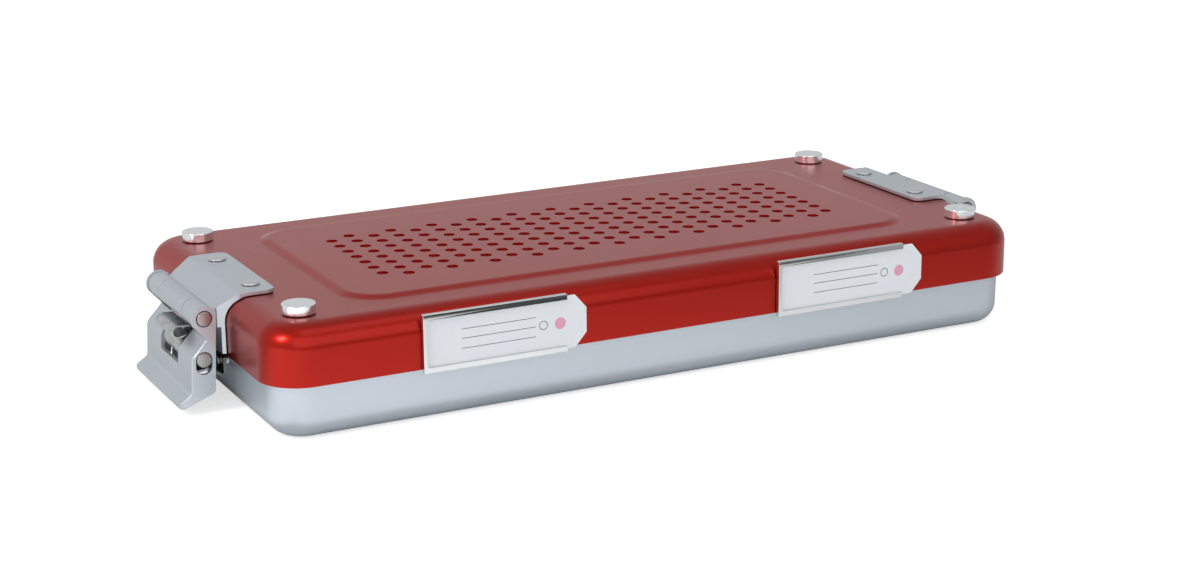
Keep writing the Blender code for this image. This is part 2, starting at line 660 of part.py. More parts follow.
def lever_outlines():
    """Side view of the folded lever, and of the space inside it."""
    throat, fold = (-THROAT_BACK, -THROAT_DROP), (LEVER_FRONT, -FOLD_DROP)
    root, tip = Vector((LEVER_FRONT, -TAB_ROOT_DROP)), Vector((TAB_OUT, -TAB_DROP))
    along = (tip - root).normalized()
    under = Vector((along.y, -along.x))
    end = tip - along * TAB_ROUND
    front = fillet([throat, fold, tuple(root), tuple(end)], [FOLD_RADIUS, TAB_RADIUS])
    middle = end + under * TAB_ROUND
    start = math.degrees(math.atan2(-under.y, -under.x))
    hem = arc(middle.x, middle.y, TAB_ROUND, start, start - 180.0, BEND_STEPS * 2)
    back_rise = math.sqrt(EAR_RADIUS ** 2 - LEVER_BACK ** 2)
    back_angle = math.degrees(math.atan2(back_rise, -LEVER_BACK))
    heel = fillet([hem[-1], (-LEVER_BACK, -HEEL_DROP), (-LEVER_BACK, 0.0)], [HEEL_RADIUS])
    ear = arc(0.0, 0.0, EAR_RADIUS, back_angle, EAR_END, ROUND_STEPS // 2)
    outer = front[:-1] + hem[:-1] + heel[:-1] + ear

    low = Vector(hem[-1])
    corner = low - along * (low.x - LEVER_FRONT + LEVER_SHEET) / along.x
    inside = beside(fillet([throat, fold, (LEVER_FRONT, corner.y)], [FOLD_RADIUS]), -LEVER_SHEET)
    far = TAB_DROP + 2 * OVERRUN
    space = [throat, (far, -THROAT_DROP), (far, far), (-far, far), (-far, -far), (low.x, -far), hem[-1]]
    return outer, space + inside[::-1]


def slot_outline():
    """Upright slot for the catch pin, open by its travel below the pin's place."""
    radius = PIN_RADIUS + PIN_CLEARANCE
    upper = arc(0.0, -CATCH_PIN_DROP, radius, 0.0, 180.0, ROUND_STEPS // 2)
    return upper + arc(0.0, -CATCH_PIN_DROP - CATCH_PIN_TRAVEL, radius, 180.0, 360.0, ROUND_STEPS // 2)


def round_folds(lever):
    """A full bend radius where the front turns into the cheeks, and broken edges round the cheeks."""
    mesh = lever.data
    weights = mesh.attributes.new("bevel_weight_edge", "FLOAT", "EDGE")
    for edge in mesh.edges:
        ends = [mesh.vertices[index].co for index in edge.vertices]
        if abs(ends[0].y - ends[1].y) > GAP:
            continue
        in_front = min(end.x for end in ends) > -THROAT_BACK - GAP and max(end.z for end in ends) < -THROAT_DROP + GAP
        below = min(end.z for end in ends) < -TAB_DROP - GAP
        weights.data[edge.index].value = 1.0 if in_front and not below else CHEEK_ROUND_SHARE
    rounding = lever.modifiers.new("folds", "BEVEL")
    rounding.width = LEVER_ROUND
    rounding.segments = 2
    rounding.limit_method = "WEIGHT"
    return lever


def make_lever(end, grey, frame):
    outer, space = lever_outlines()
    lever = round_folds(outline_solid(f"latch_lever_{end}", outer, LEVER_HALF, grey, frame))
    boolean(lever, outline_solid(f"lever_space_{end}", space, LEVER_HALF - LEVER_SHEET, parent=frame), "DIFFERENCE")
    window = block(f"lever_window_{end}", (-LEVER_BACK - OVERRUN, WINDOW_SHIFT - WINDOW_HALF, -WINDOW_DROP),
                   (TAB_OUT + OVERRUN, WINDOW_SHIFT + WINDOW_HALF, EAR_RADIUS + OVERRUN), parent=frame)
    boolean(lever, window, "DIFFERENCE")
    boolean(lever, outline_solid(f"lever_slot_{end}", slot_outline(), LEVER_HALF + OVERRUN, parent=frame),
            "DIFFERENCE")
    bore = cylinders(f"lever_bore_{end}", [(0.0, 0.0)], PIN_RADIUS + PIN_CLEARANCE,
                     -LEVER_HALF - OVERRUN, LEVER_HALF + OVERRUN, ROUND_STEPS, "Y", frame)
    return smooth(boolean(lever, bore, "DIFFERENCE"))


def make_hook(end, steel, frame):
    """Strip over and in front of the catch pin, then back under the pan catch."""
    axis = -CATCH_PIN_DROP
    corners = [(0.0, axis + HOOK_COVER), (HOOK_FRONT, axis + HOOK_COVER), (HOOK_FRONT, axis - PIN_RADIUS / 2),
               (HOOK_WAIST_BACK, axis - HOOK_WAIST_DROP), (HOOK_WAIST_BACK / 2, axis - HOOK_FLOOR_DROP),
               (-HOOK_TIP_BACK / 2, axis - HOOK_FLOOR_DROP), (-HOOK_TIP_BACK, axis - HOOK_FLOOR_DROP + HOOK_TIP_RISE)]
    bends = [PIN_RADIUS / 2, PIN_RADIUS / 2, HOOK_BEND, HOOK_BEND, HOOK_BEND]
    path = fillet(corners, bends)
    return bent_strip(f"latch_hook_{end}", path, HOOK_HALF, steel, frame, HOOK_SHEET, WINDOW_SHIFT)


def make_spring(end, steel, frame):
    """Hairpin strip: a leg under the knuckle, a round nose in the window, a leg back over the hook."""
    radius = SPRING_OPEN / 2
    middle = -SPRING_TOP_DROP - radius
    nose = arc(SPRING_NOSE - radius, middle, radius, 90.0, -90.0, SPRING_STEPS)
    path = [(SPRING_BACK, -SPRING_TOP_DROP)] + nose + [(SPRING_BACK, middle - radius)]
    return bent_strip(f"latch_spring_{end}", path, SPRING_HALF, steel, frame, SPRING_SHEET, WINDOW_SHIFT)


def make_catch(end, silver, polished, frame):
    corners = [(CATCH_OUT, -CATCH_TOP_DROP), (CATCH_OUT, -CATCH_BOTTOM_DROP), (CATCH_LIP_OUT, -CATCH_LIP_DROP),
               (CATCH_LIP_OUT, -CATCH_LIP_TOP_DROP)]
    path = fillet(corners, [CATCH_BEND, CATCH_BEND])
    catch = bent_strip(f"pan_catch_{end}", path, CATCH_HALF, silver, frame, CATCH_SHEET)
    spots = [(side * CATCH_RIVET_SPREAD, -CATCH_RIVET_DROP) for side in (-1, 1)]
    shank = CATCH_RIVET_SHANK + GAP
    wall = -pan_wall(CLOSED_HEIGHT - CATCH_RIVET_DROP)
    leg_in, leg_out = CATCH_OUT - CATCH_SHEET / 2, CATCH_OUT + CATCH_SHEET / 2
    boolean(catch, cylinders(f"catch_holes_{end}", spots, shank, leg_in - OVERRUN, leg_out + OVERRUN / 2,
                             SMALL_STEPS, "X", frame), "DIFFERENCE")
    pan = bpy.data.objects["pan_shell"]
    boolean(pan, cylinders(f"pan_holes_{end}", spots, shank, wall - PAN_SHEET - OVERRUN / 2, wall + OVERRUN / 2,
                           SMALL_STEPS, "X", frame), "DIFFERENCE")
    head, collar = CATCH_RIVET_HEAD, CATCH_RIVET_HEAD
    inner = wall - PAN_SHEET - GAP
    profile = [(0.0, leg_out + GAP + CATCH_RIVET_THICK), (head, leg_out + GAP + CATCH_RIVET_THICK / 2),
               (head, leg_out + GAP), (CATCH_RIVET_SHANK, leg_out + GAP), (CATCH_RIVET_SHANK, leg_in - GAP),
               (collar, leg_in - GAP), (collar, wall + GAP), (CATCH_RIVET_SHANK, wall + GAP),
               (CATCH_RIVET_SHANK, inner), (head, inner), (head, inner - CATCH_RIVET_THICK),
               (0.0, inner - CATCH_RIVET_THICK)]
    names = [f"catch_rivet_{side}_{end}" for side in sides_of(end)]
    turned(names, profile, [(0.0, y, z) for y, z in spots], polished, SMALL_STEPS,
           (0.0, math.radians(90.0), 0.0), frame)


def make_latch(end, turn, finishes):
    grey, silver, steel, polished = finishes
    frame = bpy.data.objects.new(f"latch_frame_{end}", None)
    parts.objects.link(frame)
    frame.rotation_euler.z = turn
    frame.location = (math.cos(turn) * LID_LENGTH / 2, 0.0, LID_TOP)
    axis = bpy.data.objects.new(f"latch_axis_{end}", None)
    parts.objects.link(axis)
    axis.parent = frame
    axis.location = (PIN_OUT, 0.0, -PIN_DROP)
    axis.rotation_euler.y = -math.radians(LEVER_LEAN)
    make_hinge_plate(end, grey, steel, polished, frame)
    make_catch(end, silver, polished, frame)
    make_lever(end, grey, axis)
    make_pin(f"catch_pin_{end}", (0.0, 0.0, -CATCH_PIN_DROP), steel, axis)
    make_hook(end, steel, axis)
    make_spring(end, steel, axis)


# Label holders and cards

def make_label(end, centre, polished, white):
    depth = 2 * HOLDER_SHEET + CARD_THICK + 2 * GAP
    back = -LID_WIDTH / 2 - GAP
    left, right = centre - HOLDER_LENGTH / 2, centre + HOLDER_LENGTH / 2
    top, bottom = LID_TOP - HOLDER_DROP, LID_TOP - HOLDER_DROP - HOLDER_HEIGHT
    holder = block(f"label_holder_{end}", (left, back - depth, bottom), (right, back, top), polished)
    bevel(holder, HOLDER_ROUND)
    slot_back, slot_front = back - HOLDER_SHEET, back - depth + HOLDER_SHEET
    channel = block(f"holder_channel_{end}", (left + HOLDER_SHEET, slot_front, bottom + HOLDER_SHEET),
                    (right + OVERRUN, slot_back, top - HOLDER_SHEET))
    window = block(f"holder_window_{end}", (left + HOLDER_END_LIP, back - depth - OVERRUN, bottom + HOLDER_LIP),
                   (right + OVERRUN, slot_back - GAP, top - HOLDER_LIP))
    boolean(holder, channel, "DIFFERENCE")
    boolean(holder, window, "DIFFERENCE")
    smooth(holder)

    first, tip = left + HOLDER_SHEET + GAP, right + CARD_SHOWN
    low, high = bottom + HOLDER_SHEET + GAP, top - HOLDER_SHEET - GAP
    outline = [(first, low), (tip - CARD_CUT_LONG, low), (tip, low + CARD_CUT_HIGH), (tip, high - CARD_CUT_HIGH),
               (tip - CARD_CUT_LONG, high), (first, high)]
    card = outline_solid(f"label_card_{end}", outline, CARD_THICK / 2, white)
    card.location.y = slot_back - GAP - CARD_THICK / 2


def main():
    for thing in list(bpy.data.objects):
        bpy.data.objects.remove(thing)
    bpy.context.scene.collection.children.link(parts)
    bpy.context.scene.collection.children.link(cutters)

    red = finish("red_anodised", (0.42, 0.035, 0.025), 0.34, 0.75)
    silver = finish("silver_anodised", (0.55, 0.58, 0.62), 0.42, 0.85)
    grey = finish("grey_satin", (0.50, 0.54, 0.58), 0.45, 0.6)
    steel = finish("bare_steel", (0.60, 0.58, 0.55), 0.30, 1.0)
    polished = finish("polished", (0.78, 0.79, 0.80), 0.15, 1.0)
    silicone = finish("silicone", (0.55, 0.55, 0.53), 0.60, 0.0)
    paper = finish("filter_paper", (0.88, 0.88, 0.85), 0.90, 0.0)
    white = finish("label_white", (0.92, 0.92, 0.92), 0.55, 0.0)

    make_pan(silver)
    make_lid(red)
    make_gasket(silicone)
    make_posts(polished)
    make_retainer(silver, paper)
    for end, turn in (("right", 0.0), ("left", math.pi)):
        make_latch(end, turn, (grey, silver, steel, polished))
    for end, sx in (("left", -1), ("right", 1)):
        make_label(end, sx * HOLDER_SPREAD + HOLDER_SHIFT, polished, white)
    bpy.context.view_layer.update()


main()
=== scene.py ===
import json
import math

import bmesh
import bpy
from mathutils import Matrix, Vector

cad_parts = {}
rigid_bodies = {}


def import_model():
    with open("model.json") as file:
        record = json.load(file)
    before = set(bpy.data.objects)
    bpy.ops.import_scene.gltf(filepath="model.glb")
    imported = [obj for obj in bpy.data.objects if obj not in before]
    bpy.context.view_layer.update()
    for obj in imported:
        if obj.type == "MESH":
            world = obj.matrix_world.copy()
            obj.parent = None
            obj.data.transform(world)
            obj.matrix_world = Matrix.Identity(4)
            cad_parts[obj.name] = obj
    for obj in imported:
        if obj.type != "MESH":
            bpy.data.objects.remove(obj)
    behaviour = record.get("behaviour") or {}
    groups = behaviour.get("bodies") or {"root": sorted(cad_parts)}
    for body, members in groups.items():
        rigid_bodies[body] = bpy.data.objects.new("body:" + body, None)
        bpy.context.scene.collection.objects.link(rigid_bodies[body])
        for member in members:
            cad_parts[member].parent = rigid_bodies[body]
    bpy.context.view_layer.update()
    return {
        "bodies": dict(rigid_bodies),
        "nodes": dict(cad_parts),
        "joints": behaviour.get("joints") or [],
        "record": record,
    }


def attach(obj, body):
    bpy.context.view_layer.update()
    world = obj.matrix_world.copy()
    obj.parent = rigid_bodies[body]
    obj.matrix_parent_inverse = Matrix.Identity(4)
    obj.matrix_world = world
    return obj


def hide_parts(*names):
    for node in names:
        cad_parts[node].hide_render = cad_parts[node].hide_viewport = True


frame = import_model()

print("frame loaded with", len(frame["nodes"]), "nodes")

gap = 0.0003           # left between pieces that touch
caseTop = 0.0402       # table to the lid's flat top
tiny = 0.000002        # doubles closer than this are merged
over = 0.0020          # how far a cutter runs past what it cuts
across = (-1, 1)
cornerNames = {(-1, -1): "FrontLeft", (-1, 1): "RearLeft", (1, -1): "FrontRight", (1, 1): "RearRight"}
cadCorners = {(-1, -1): "front_left", (-1, 1): "rear_left", (1, -1): "front_right", (1, 1): "rear_right"}


# Handling pieces

def deselectAll():
    if bpy.context.mode != "OBJECT":
        bpy.ops.object.mode_set(mode="OBJECT")
    bpy.ops.object.select_all(action="DESELECT")


def only(piece):
    deselectAll()
    bpy.context.view_layer.objects.active = piece
    piece.select_set(True)


def edit(piece, kind="VERT"):
    only(piece)
    bpy.ops.object.mode_set(mode="EDIT")
    bpy.ops.mesh.select_mode(type=kind)
    bpy.ops.mesh.select_all(action="SELECT")


def done():
    bpy.ops.object.mode_set(mode="OBJECT")


def pick(piece, kind, test):     # selects the vertices, edges or faces that pass a test, in edit mode
    bpy.ops.mesh.select_mode(type=kind)
    bpy.ops.mesh.select_all(action="DESELECT")
    shape = bmesh.from_edit_mesh(piece.data)
    found = 0
    for item in {"VERT": shape.verts, "EDGE": shape.edges, "FACE": shape.faces}[kind]:
        if test(item):
            item.select_set(True)
            found += 1
    shape.select_flush_mode()
    bmesh.update_edit_mesh(piece.data)
    return found


def settle(piece):               # the place goes into the mesh and the object back to the origin
    only(piece)
    bpy.ops.object.transform_apply(location=True, rotation=True, scale=True)
    return piece


def started(name):               # the primitive that was just added takes its name
    piece = bpy.context.object
    piece.name = piece.data.name = name
    return settle(piece)


def move(x=0.0, y=0.0, z=0.0):
    bpy.ops.mesh.extrude_region_move(TRANSFORM_OT_translate={"value": (x, y, z)})


def modify(piece, kind, settings):
    only(piece)
    step = piece.modifiers.new(kind.lower(), kind)
    for key, value in settings.items():
        setattr(step, key, value)
    bpy.ops.object.modifier_apply(modifier=step.name)
    return piece


def cut(piece, cutter, operation="DIFFERENCE"):
    modify(piece, "BOOLEAN", {"operation": operation, "object": cutter, "solver": "EXACT"})
    bpy.data.objects.remove(cutter)
    return piece


def rounded(piece, width, segments=2, angle=50.0):
    return modify(piece, "BEVEL", {"width": width, "segments": segments, "limit_method": "ANGLE",
                                   "angle_limit": math.radians(angle), "harden_normals": False})


def smooth(piece, angle=30.0, weighted=True):
    only(piece)
    bpy.ops.object.shade_smooth_by_angle(angle=math.radians(angle))
    if weighted:                 # flat faces keep a flat sheen beside their rounded edges
        modify(piece, "WEIGHTED_NORMAL", {"keep_sharp": True, "weight": 60})
    return piece


def joined(name, pieces):
    deselectAll()
    for piece in pieces:
        piece.select_set(True)
    bpy.context.view_layer.objects.active = pieces[0]
    bpy.ops.object.join()
    pieces[0].name = pieces[0].data.name = name
    return pieces[0]


def copied(piece, name, place=Matrix()):
    twin = piece.copy()
    twin.data = piece.data.copy()
    twin.name = twin.data.name = name
    bpy.context.scene.collection.objects.link(twin)
    twin.matrix_world = place
    return settle(twin)


# Drawing outlines in the XZ plane, as (x, z)

def arc(x, z, radius, start, end, steps):
    turns = [math.radians(start + (end - start) * step / steps) for step in range(steps + 1)]
    return [(x + radius * math.cos(turn), z + radius * math.sin(turn)) for turn in turns]


def fillet(path, radii, steps=6):
    result = [tuple(path[0])]
    for before, corner, after, radius in zip(path, path[1:], path[2:], radii):
        here = Vector(corner)
        back, ahead = (Vector(before) - here).normalized(), (Vector(after) - here).normalized()
        half = back.angle(ahead) / 2
        middle = here + (back + ahead).normalized() * radius / math.sin(half)
        first = here + back * radius / math.tan(half) - middle
        turn = (math.pi - 2 * half) * (-1 if back.x * ahead.y - back.y * ahead.x > 0 else 1)
        for step in range(steps + 1):
            angle = turn * step / steps
            result.append((middle.x + first.x * math.cos(angle) - first.y * math.sin(angle),
                           middle.y + first.x * math.sin(angle) + first.y * math.cos(angle)))
    return result + [tuple(path[-1])]


def beside(path, distance):      # the path moved to the left of its travel
    moved = []
    for i, point in enumerate(path):
        before, here = Vector(path[max(i - 1, 0)]), Vector(point)
        after = Vector(path[min(i + 1, len(path) - 1)])
        into = (here - before if i > 0 else after - here).normalized()
        away = (after - here if i < len(path) - 1 else here - before).normalized()
        normal = Vector((-(into + away).y, (into + away).x)).normalized()
        moved.append(tuple(here + normal * distance / normal.dot(Vector((-into.y, into.x)))))
    return moved


def drawn(name, points, y=0.0):  # a plane drawn together to one point, then extruded from point to point
    deselectAll()
    first = (points[0][0], y, points[0][1])
    bpy.ops.mesh.primitive_plane_add(size=gap, location=first)
    piece = started(name)
    edit(piece)
    bpy.ops.mesh.merge(type="CENTER")
    for (x, z), (nextX, nextZ) in zip(points, points[1:]):
        move(nextX - x, 0.0, nextZ - z)
    return piece


def slab(name, outline, half, shift=0.0):    # a closed outline made thick along Y
    piece = drawn(name, outline, shift - half)
    bpy.ops.mesh.select_all(action="SELECT")
    bpy.ops.mesh.edge_face_add()
    move(y=2 * half)
    bpy.ops.mesh.select_all(action="SELECT")
    bpy.ops.mesh.remove_doubles(threshold=tiny)
    bpy.ops.mesh.normals_make_consistent(inside=False)
    done()
    return piece


def strip(name, path, half, thickness, shift=0.0, edge=0.0001):   # sheet whose middle follows a path
    piece = drawn(name, path, shift - half)
    bpy.ops.mesh.select_all(action="SELECT")
    move(y=2 * half)
    done()
    modify(piece, "SOLIDIFY", {"thickness": thickness, "offset": 0.0, "use_even_offset": True})
    return rounded(piece, edge, 2, 60.0)


def turned(name, profile, steps=48):         # a profile of (radius, height) spun round Z
    piece = drawn(name, profile)
    bpy.ops.mesh.select_all(action="SELECT")
    bpy.ops.mesh.spin(steps=steps, angle=math.tau, center=(0.0, 0.0, 0.0), axis=(0.0, 0.0, 1.0))
    bpy.ops.mesh.select_all(action="SELECT")
    bpy.ops.mesh.remove_doubles(threshold=tiny)
    bpy.ops.mesh.normals_make_consistent(inside=False)
    done()
    return piece


def barrel(name, profile, x, z, steps=48):   # the same, lying along Y
    piece = turned(name, profile, steps)
    piece.rotation_euler.x = math.radians(-90.0)
    piece.location = (x, 0.0, z)
    return settle(piece)


def box(name, low, high):
    deselectAll()
    low, high = Vector(low), Vector(high)
    bpy.ops.mesh.primitive_cube_add(size=1.0, location=(low + high) / 2, scale=high - low)
    return started(name)


# Pressed sheet: trays are drawn mouth down, from a plate with round corners

def plate(name, halfX, halfY, corner, height, steps=14):
    deselectAll()
    bpy.ops.mesh.primitive_plane_add(size=2.0, location=(0.0, 0.0, height), scale=(1.0, 1.0, 1.0))
    piece = started(name)
    piece.scale = (halfX, halfY, 1.0)
    settle(piece)
    edit(piece)
    bpy.ops.mesh.bevel(offset=corner, segments=steps, affect="VERTICES")
    bpy.ops.mesh.select_mode(type="FACE")
    bpy.ops.mesh.select_all(action="SELECT")
    return piece


def inset(thickness, depth):
    bpy.ops.mesh.inset(thickness=thickness, depth=depth, use_even_offset=True, use_relative_offset=False)


def quarterRound(radius, steps):
    for step in range(steps):
        a, b = (math.radians(90.0) * k / steps for k in (step, step + 1))
        inset(radius * (math.cos(a) - math.cos(b)), radius * (math.sin(b) - math.sin(a)))


def press(width, height, steps):             # a soft step up, as a press draws it
    rise = [height * (3 * f ** 2 - 2 * f ** 3) for f in (step / steps for step in range(steps + 1))]
    for low, high in zip(rise, rise[1:]):
        inset(width / steps, high - low)


def isMiddle(face, height):
    middle = face.calc_center_median()
    return abs(middle.x) < gap and abs(middle.y) < gap and abs(middle.z - height) < tiny * 10


def tray(name, halfX, halfY, corner, edge, bottom, top, field=None, edgeSteps=10):
    piece = plate(name, halfX, halfY, corner, bottom)
    move(z=top - edge - bottom)
    quarterRound(edge, edgeSteps)
    if field:
        fieldX, fieldY, fieldCorner, rise, slope, pressSteps = field
        inset(gap, 0.0)
        bpy.ops.mesh.delete(type="ONLY_FACE")
        bpy.ops.mesh.select_mode(type="VERT")
        bpy.ops.mesh.primitive_plane_add(size=2.0, location=(0.0, 0.0, top))
        bpy.ops.transform.resize(value=(fieldX, fieldY, 1.0), center_override=(0.0, 0.0, top))
        bpy.ops.mesh.bevel(offset=fieldCorner, segments=14, affect="VERTICES")
        pick(piece, "EDGE", lambda e: len(e.link_faces) == 1 and min(v.co.z for v in e.verts) > top - tiny)
        bpy.ops.mesh.bridge_edge_loops()
        pick(piece, "FACE", lambda f: isMiddle(f, top))
        press(slope, rise, pressSteps)
    pick(piece, "FACE", lambda f: isMiddle(f, bottom))
    bpy.ops.mesh.delete(type="ONLY_FACE")
    bpy.ops.mesh.select_all(action="SELECT")
    bpy.ops.mesh.normals_make_consistent(inside=False)
    return piece


def solidSheet(piece, thickness):
    return modify(piece, "SOLIDIFY", {"thickness": thickness, "offset": -1.0, "use_even_offset": True})


# Shader maths

class Wire:                      # a socket, or a plain number, that can be written into sums
    def __init__(self, tree, socket):
        self.tree, self.socket = tree, socket

    def add(self, kind, settings=None, output=0, **inputs):
        node = self.tree.nodes.new(kind)
        for key, value in (settings or {}).items():
            if key == "stops":
                ramp = node.color_ramp
                while len(ramp.elements) < len(value):
                    ramp.elements.new(0.5)
                for element, (at, colour) in zip(ramp.elements, value):
                    element.position, element.color = at, colour
            else:
                setattr(node, key, value)
        for key, value in inputs.items():
            numbered = key[0] == "i" and key[1:].isdigit()
            socket = node.inputs[int(key[1:])] if numbered else node.inputs[key.replace("_", " ")]
            if isinstance(value, Wire):
                self.tree.links.new(value.socket, socket)
            else:
                socket.default_value = value
        return Wire(self.tree, node.outputs[output] if len(node.outputs) else None)

    def of(self, output):
        return Wire(self.tree, self.socket.node.outputs[output])

    def maths(self, operation, first, second=0.0, third=0.0):
        return self.add("ShaderNodeMath", {"operation": operation}, i0=first, i1=second, i2=third)

    def __add__(self, other): return self.maths("ADD", self, other)
    def __radd__(self, other): return self.maths("ADD", other, self)
    def __sub__(self, other): return self.maths("SUBTRACT", self, other)
    def __rsub__(self, other): return self.maths("SUBTRACT", other, self)
    def __mul__(self, other): return self.maths("MULTIPLY", self, other)
    def __rmul__(self, other): return self.maths("MULTIPLY", other, self)
    def __truediv__(self, other): return self.maths("DIVIDE", self, other)
    def __pow__(self, other): return self.maths("POWER", self, other)
    def __abs__(self): return self.maths("ABSOLUTE", self)
    def __lt__(self, other): return self.maths("LESS_THAN", self, other)
    def __gt__(self, other): return self.maths("GREATER_THAN", self, other)

    def within(self, other, room):           # 1 where this lies within room of other
        return abs(self - other) < room

    def blend(self, low, high):              # 0 up to low, 1 from high on
        return self.add("ShaderNodeMapRange", {"interpolation_type": "SMOOTHSTEP"}, Value=self,
                        From_Min=low, From_Max=high)

    def mixed(self, first, second):          # first colour where this is 0, second where it is 1
        return self.add("ShaderNodeMix", {"data_type": "RGBA"}, output=2, i0=self, i6=first, i7=second)


def colour(red, green, blue):
    return (red, green, blue, 1.0)


def newMaterial(name, settings):
    material = bpy.data.materials.new(name)
    material.use_nodes = True
    tree = material.node_tree
    shader = tree.nodes["Principled BSDF"]
    for key, value in settings.items():
        shader.inputs[key].default_value = value
    base = Wire(tree, shader.outputs[0])
    place = base.add("ShaderNodeTexCoord", output="Object")
    return material, shader, place


def feed(shader, **wires):
    for key, wire in wires.items():
        wire.tree.links.new(wire.socket, shader.inputs[key.replace("_", " ")])


def grain(place, scale, detail=3.0, stretch=(1.0, 1.0, 1.0), roughness=0.5):
    spread = place.add("ShaderNodeMapping", Vector=place, Scale=stretch)
    return place.add("ShaderNodeTexNoise", Vector=spread, Scale=scale, Detail=detail, Roughness=roughness)


def bump(place, height, strength, distance, normal=None):
    inputs = {"Height": height, "Strength": strength, "Distance": distance}
    if normal:
        inputs["Normal"] = normal
    return place.add("ShaderNodeBump", **inputs)


def parted(place):
    split = place.add("ShaderNodeSeparateXYZ", Vector=place)
    return split, split.of("Y"), split.of("Z")


redFinish = {"deep": colour(0.360, 0.0070, 0.0015), "light": colour(0.400, 0.0090, 0.0025),
             "grain": 2600.0, "cloud": 26.0}


def redAnodised():
    material, shader, place = newMaterial("redAnodised", {"Metallic": 1.0, "Roughness": 0.38, "Coat Weight": 0.45,
                                                          "Coat Roughness": 0.20, "Coat IOR": 1.4})
    fine = grain(place, redFinish["grain"], 2.0)
    cloud = grain(place, redFinish["cloud"], 4.0)
    mottle = (cloud - 0.5) * 0.8 + (fine - 0.5) * 0.35 + 0.5
    feed(shader, Base_Color=mottle.mixed(redFinish["deep"], redFinish["light"]),
         Roughness=0.36 + (cloud - 0.5) * 0.06 + (fine - 0.5) * 0.10,
         Normal=bump(place, fine, 0.12, 0.00004))
    return material


silverFinish = {"dark": colour(0.495, 0.545, 0.60), "light": colour(0.545, 0.60, 0.655), "grain": 2400.0,
                "cloud": 22.0}


def silverAnodised():
    material, shader, place = newMaterial("silverAnodised", {"Metallic": 0.85, "Roughness": 0.42})
    fine = grain(place, silverFinish["grain"], 2.0)
    cloud = grain(place, silverFinish["cloud"], 4.0)
    mottle = (cloud - 0.5) * 0.7 + (fine - 0.5) * 0.4 + 0.5
    feed(shader, Base_Color=mottle.mixed(silverFinish["dark"], silverFinish["light"]),
         Roughness=0.42 + (cloud - 0.5) * 0.06 + (fine - 0.5) * 0.10,
         Normal=bump(place, fine, 0.12, 0.00004))
    return material


# inner is a painted shade colour for the faces inside the levers, where shade falls
greyFinish = {"dark": colour(0.50, 0.545, 0.585), "light": colour(0.56, 0.605, 0.645), "grain": 3000.0,
              "inner": colour(0.34, 0.365, 0.38), "paintedShadeOut": 0.1613, "paintedShadeHalf": 0.0250}


def greySatin():
    material, shader, place = newMaterial("greySatin", {"Metallic": 0.75, "Roughness": 0.42})
    fine = grain(place, greyFinish["grain"], 2.0)
    cloud = grain(place, 60.0, 3.0)
    scuffs = grain(place, 420.0, 2.0, (1.0, 0.06, 1.0))
    mottle = (cloud - 0.5) * 0.8 + (fine - 0.5) * 0.5 + 0.5
    x, y, z = parted(place)          # painted shade: the faces inside the levers get the darker inner grey
    inner = (abs(x) < greyFinish["paintedShadeOut"]) * (abs(y) < greyFinish["paintedShadeHalf"]) * (z < caseTop - 0.0210)
    shown = mottle.mixed(greyFinish["dark"], greyFinish["light"])
    feed(shader, Base_Color=inner.mixed(shown, greyFinish["inner"]),
         Roughness=0.40 + (cloud - 0.5) * 0.10 + (scuffs - 0.5) * 0.08,
         Normal=bump(place, fine, 0.15, 0.00004))
    return material


def radial(place, centreX, centreY, turn="XY"):    # distance from the nearest of four equal axes
    x, y, z = parted(place)
    if turn == "XZ":
        return ((abs(x) - centreX) ** 2.0 + (z - centreY) ** 2.0) ** 0.5
    return ((abs(x) - centreX) ** 2.0 + (abs(y) - centreY) ** 2.0) ** 0.5


def turnedMetal(name, tone, roughness, centres, turn, pitch=0.00022):
    material, shader, place = newMaterial(name, {"Metallic": 1.0, "Roughness": roughness})
    distance = radial(place, *centres, turn)
    rings = place.maths("SINE", distance * (math.tau / pitch))
    wobble = grain(place, 2600.0, 2.0)
    height = rings * 0.5 + wobble
    shade = (wobble - 0.5) * 0.6 + 0.5
    feed(shader, Base_Color=shade.mixed(colour(*(c * 0.9 for c in tone)), colour(*tone)),
         Roughness=roughness + (wobble - 0.5) * 0.10,
         Normal=bump(place, height, 0.12, 0.00002))
    return material


def bareSteel(name="bareSteel", tone=1.0):
    material, shader, place = newMaterial(name, {"Metallic": 1.0, "Roughness": 0.30})
    drawnLines = grain(place, 900.0, 3.0, (1.0, 0.05, 1.0))
    stain = grain(place, 240.0, 4.0)
    feed(shader, Base_Color=stain.blend(0.35, 0.7).mixed(colour(0.42 * tone, 0.435 * tone, 0.43 * tone),
                                                         colour(0.56 * tone, 0.58 * tone, 0.575 * tone)),
         Roughness=0.26 + (drawnLines - 0.5) * 0.20 + (stain - 0.5) * 0.08,
         Normal=bump(place, drawnLines, 0.20, 0.00003))
    return material


def holderSteel():
    material, shader, place = newMaterial("holderSteel", {"Metallic": 1.0, "Roughness": 0.12})
    polish = grain(place, 700.0, 3.0, (0.04, 1.0, 1.0))
    cloud = grain(place, 60.0, 2.0)
    feed(shader, Base_Color=cloud.mixed(colour(0.62, 0.635, 0.64), colour(0.70, 0.715, 0.72)),
         Roughness=0.11 + (polish - 0.5) * 0.10,
         Normal=bump(place, polish, 0.06, 0.00002))
    return material


def siliconeRubber():
    material, shader, place = newMaterial("siliconeRubber", {"Roughness": 0.6, "Specular IOR Level": 0.4})
    bloom = grain(place, 90.0, 4.0)
    fine = grain(place, 1500.0, 2.0)
    feed(shader, Base_Color=bloom.mixed(colour(0.48, 0.48, 0.46), colour(0.62, 0.62, 0.60)),
         Roughness=0.55 + (bloom - 0.5) * 0.2, Normal=bump(place, fine, 0.2, 0.00005))
    return material


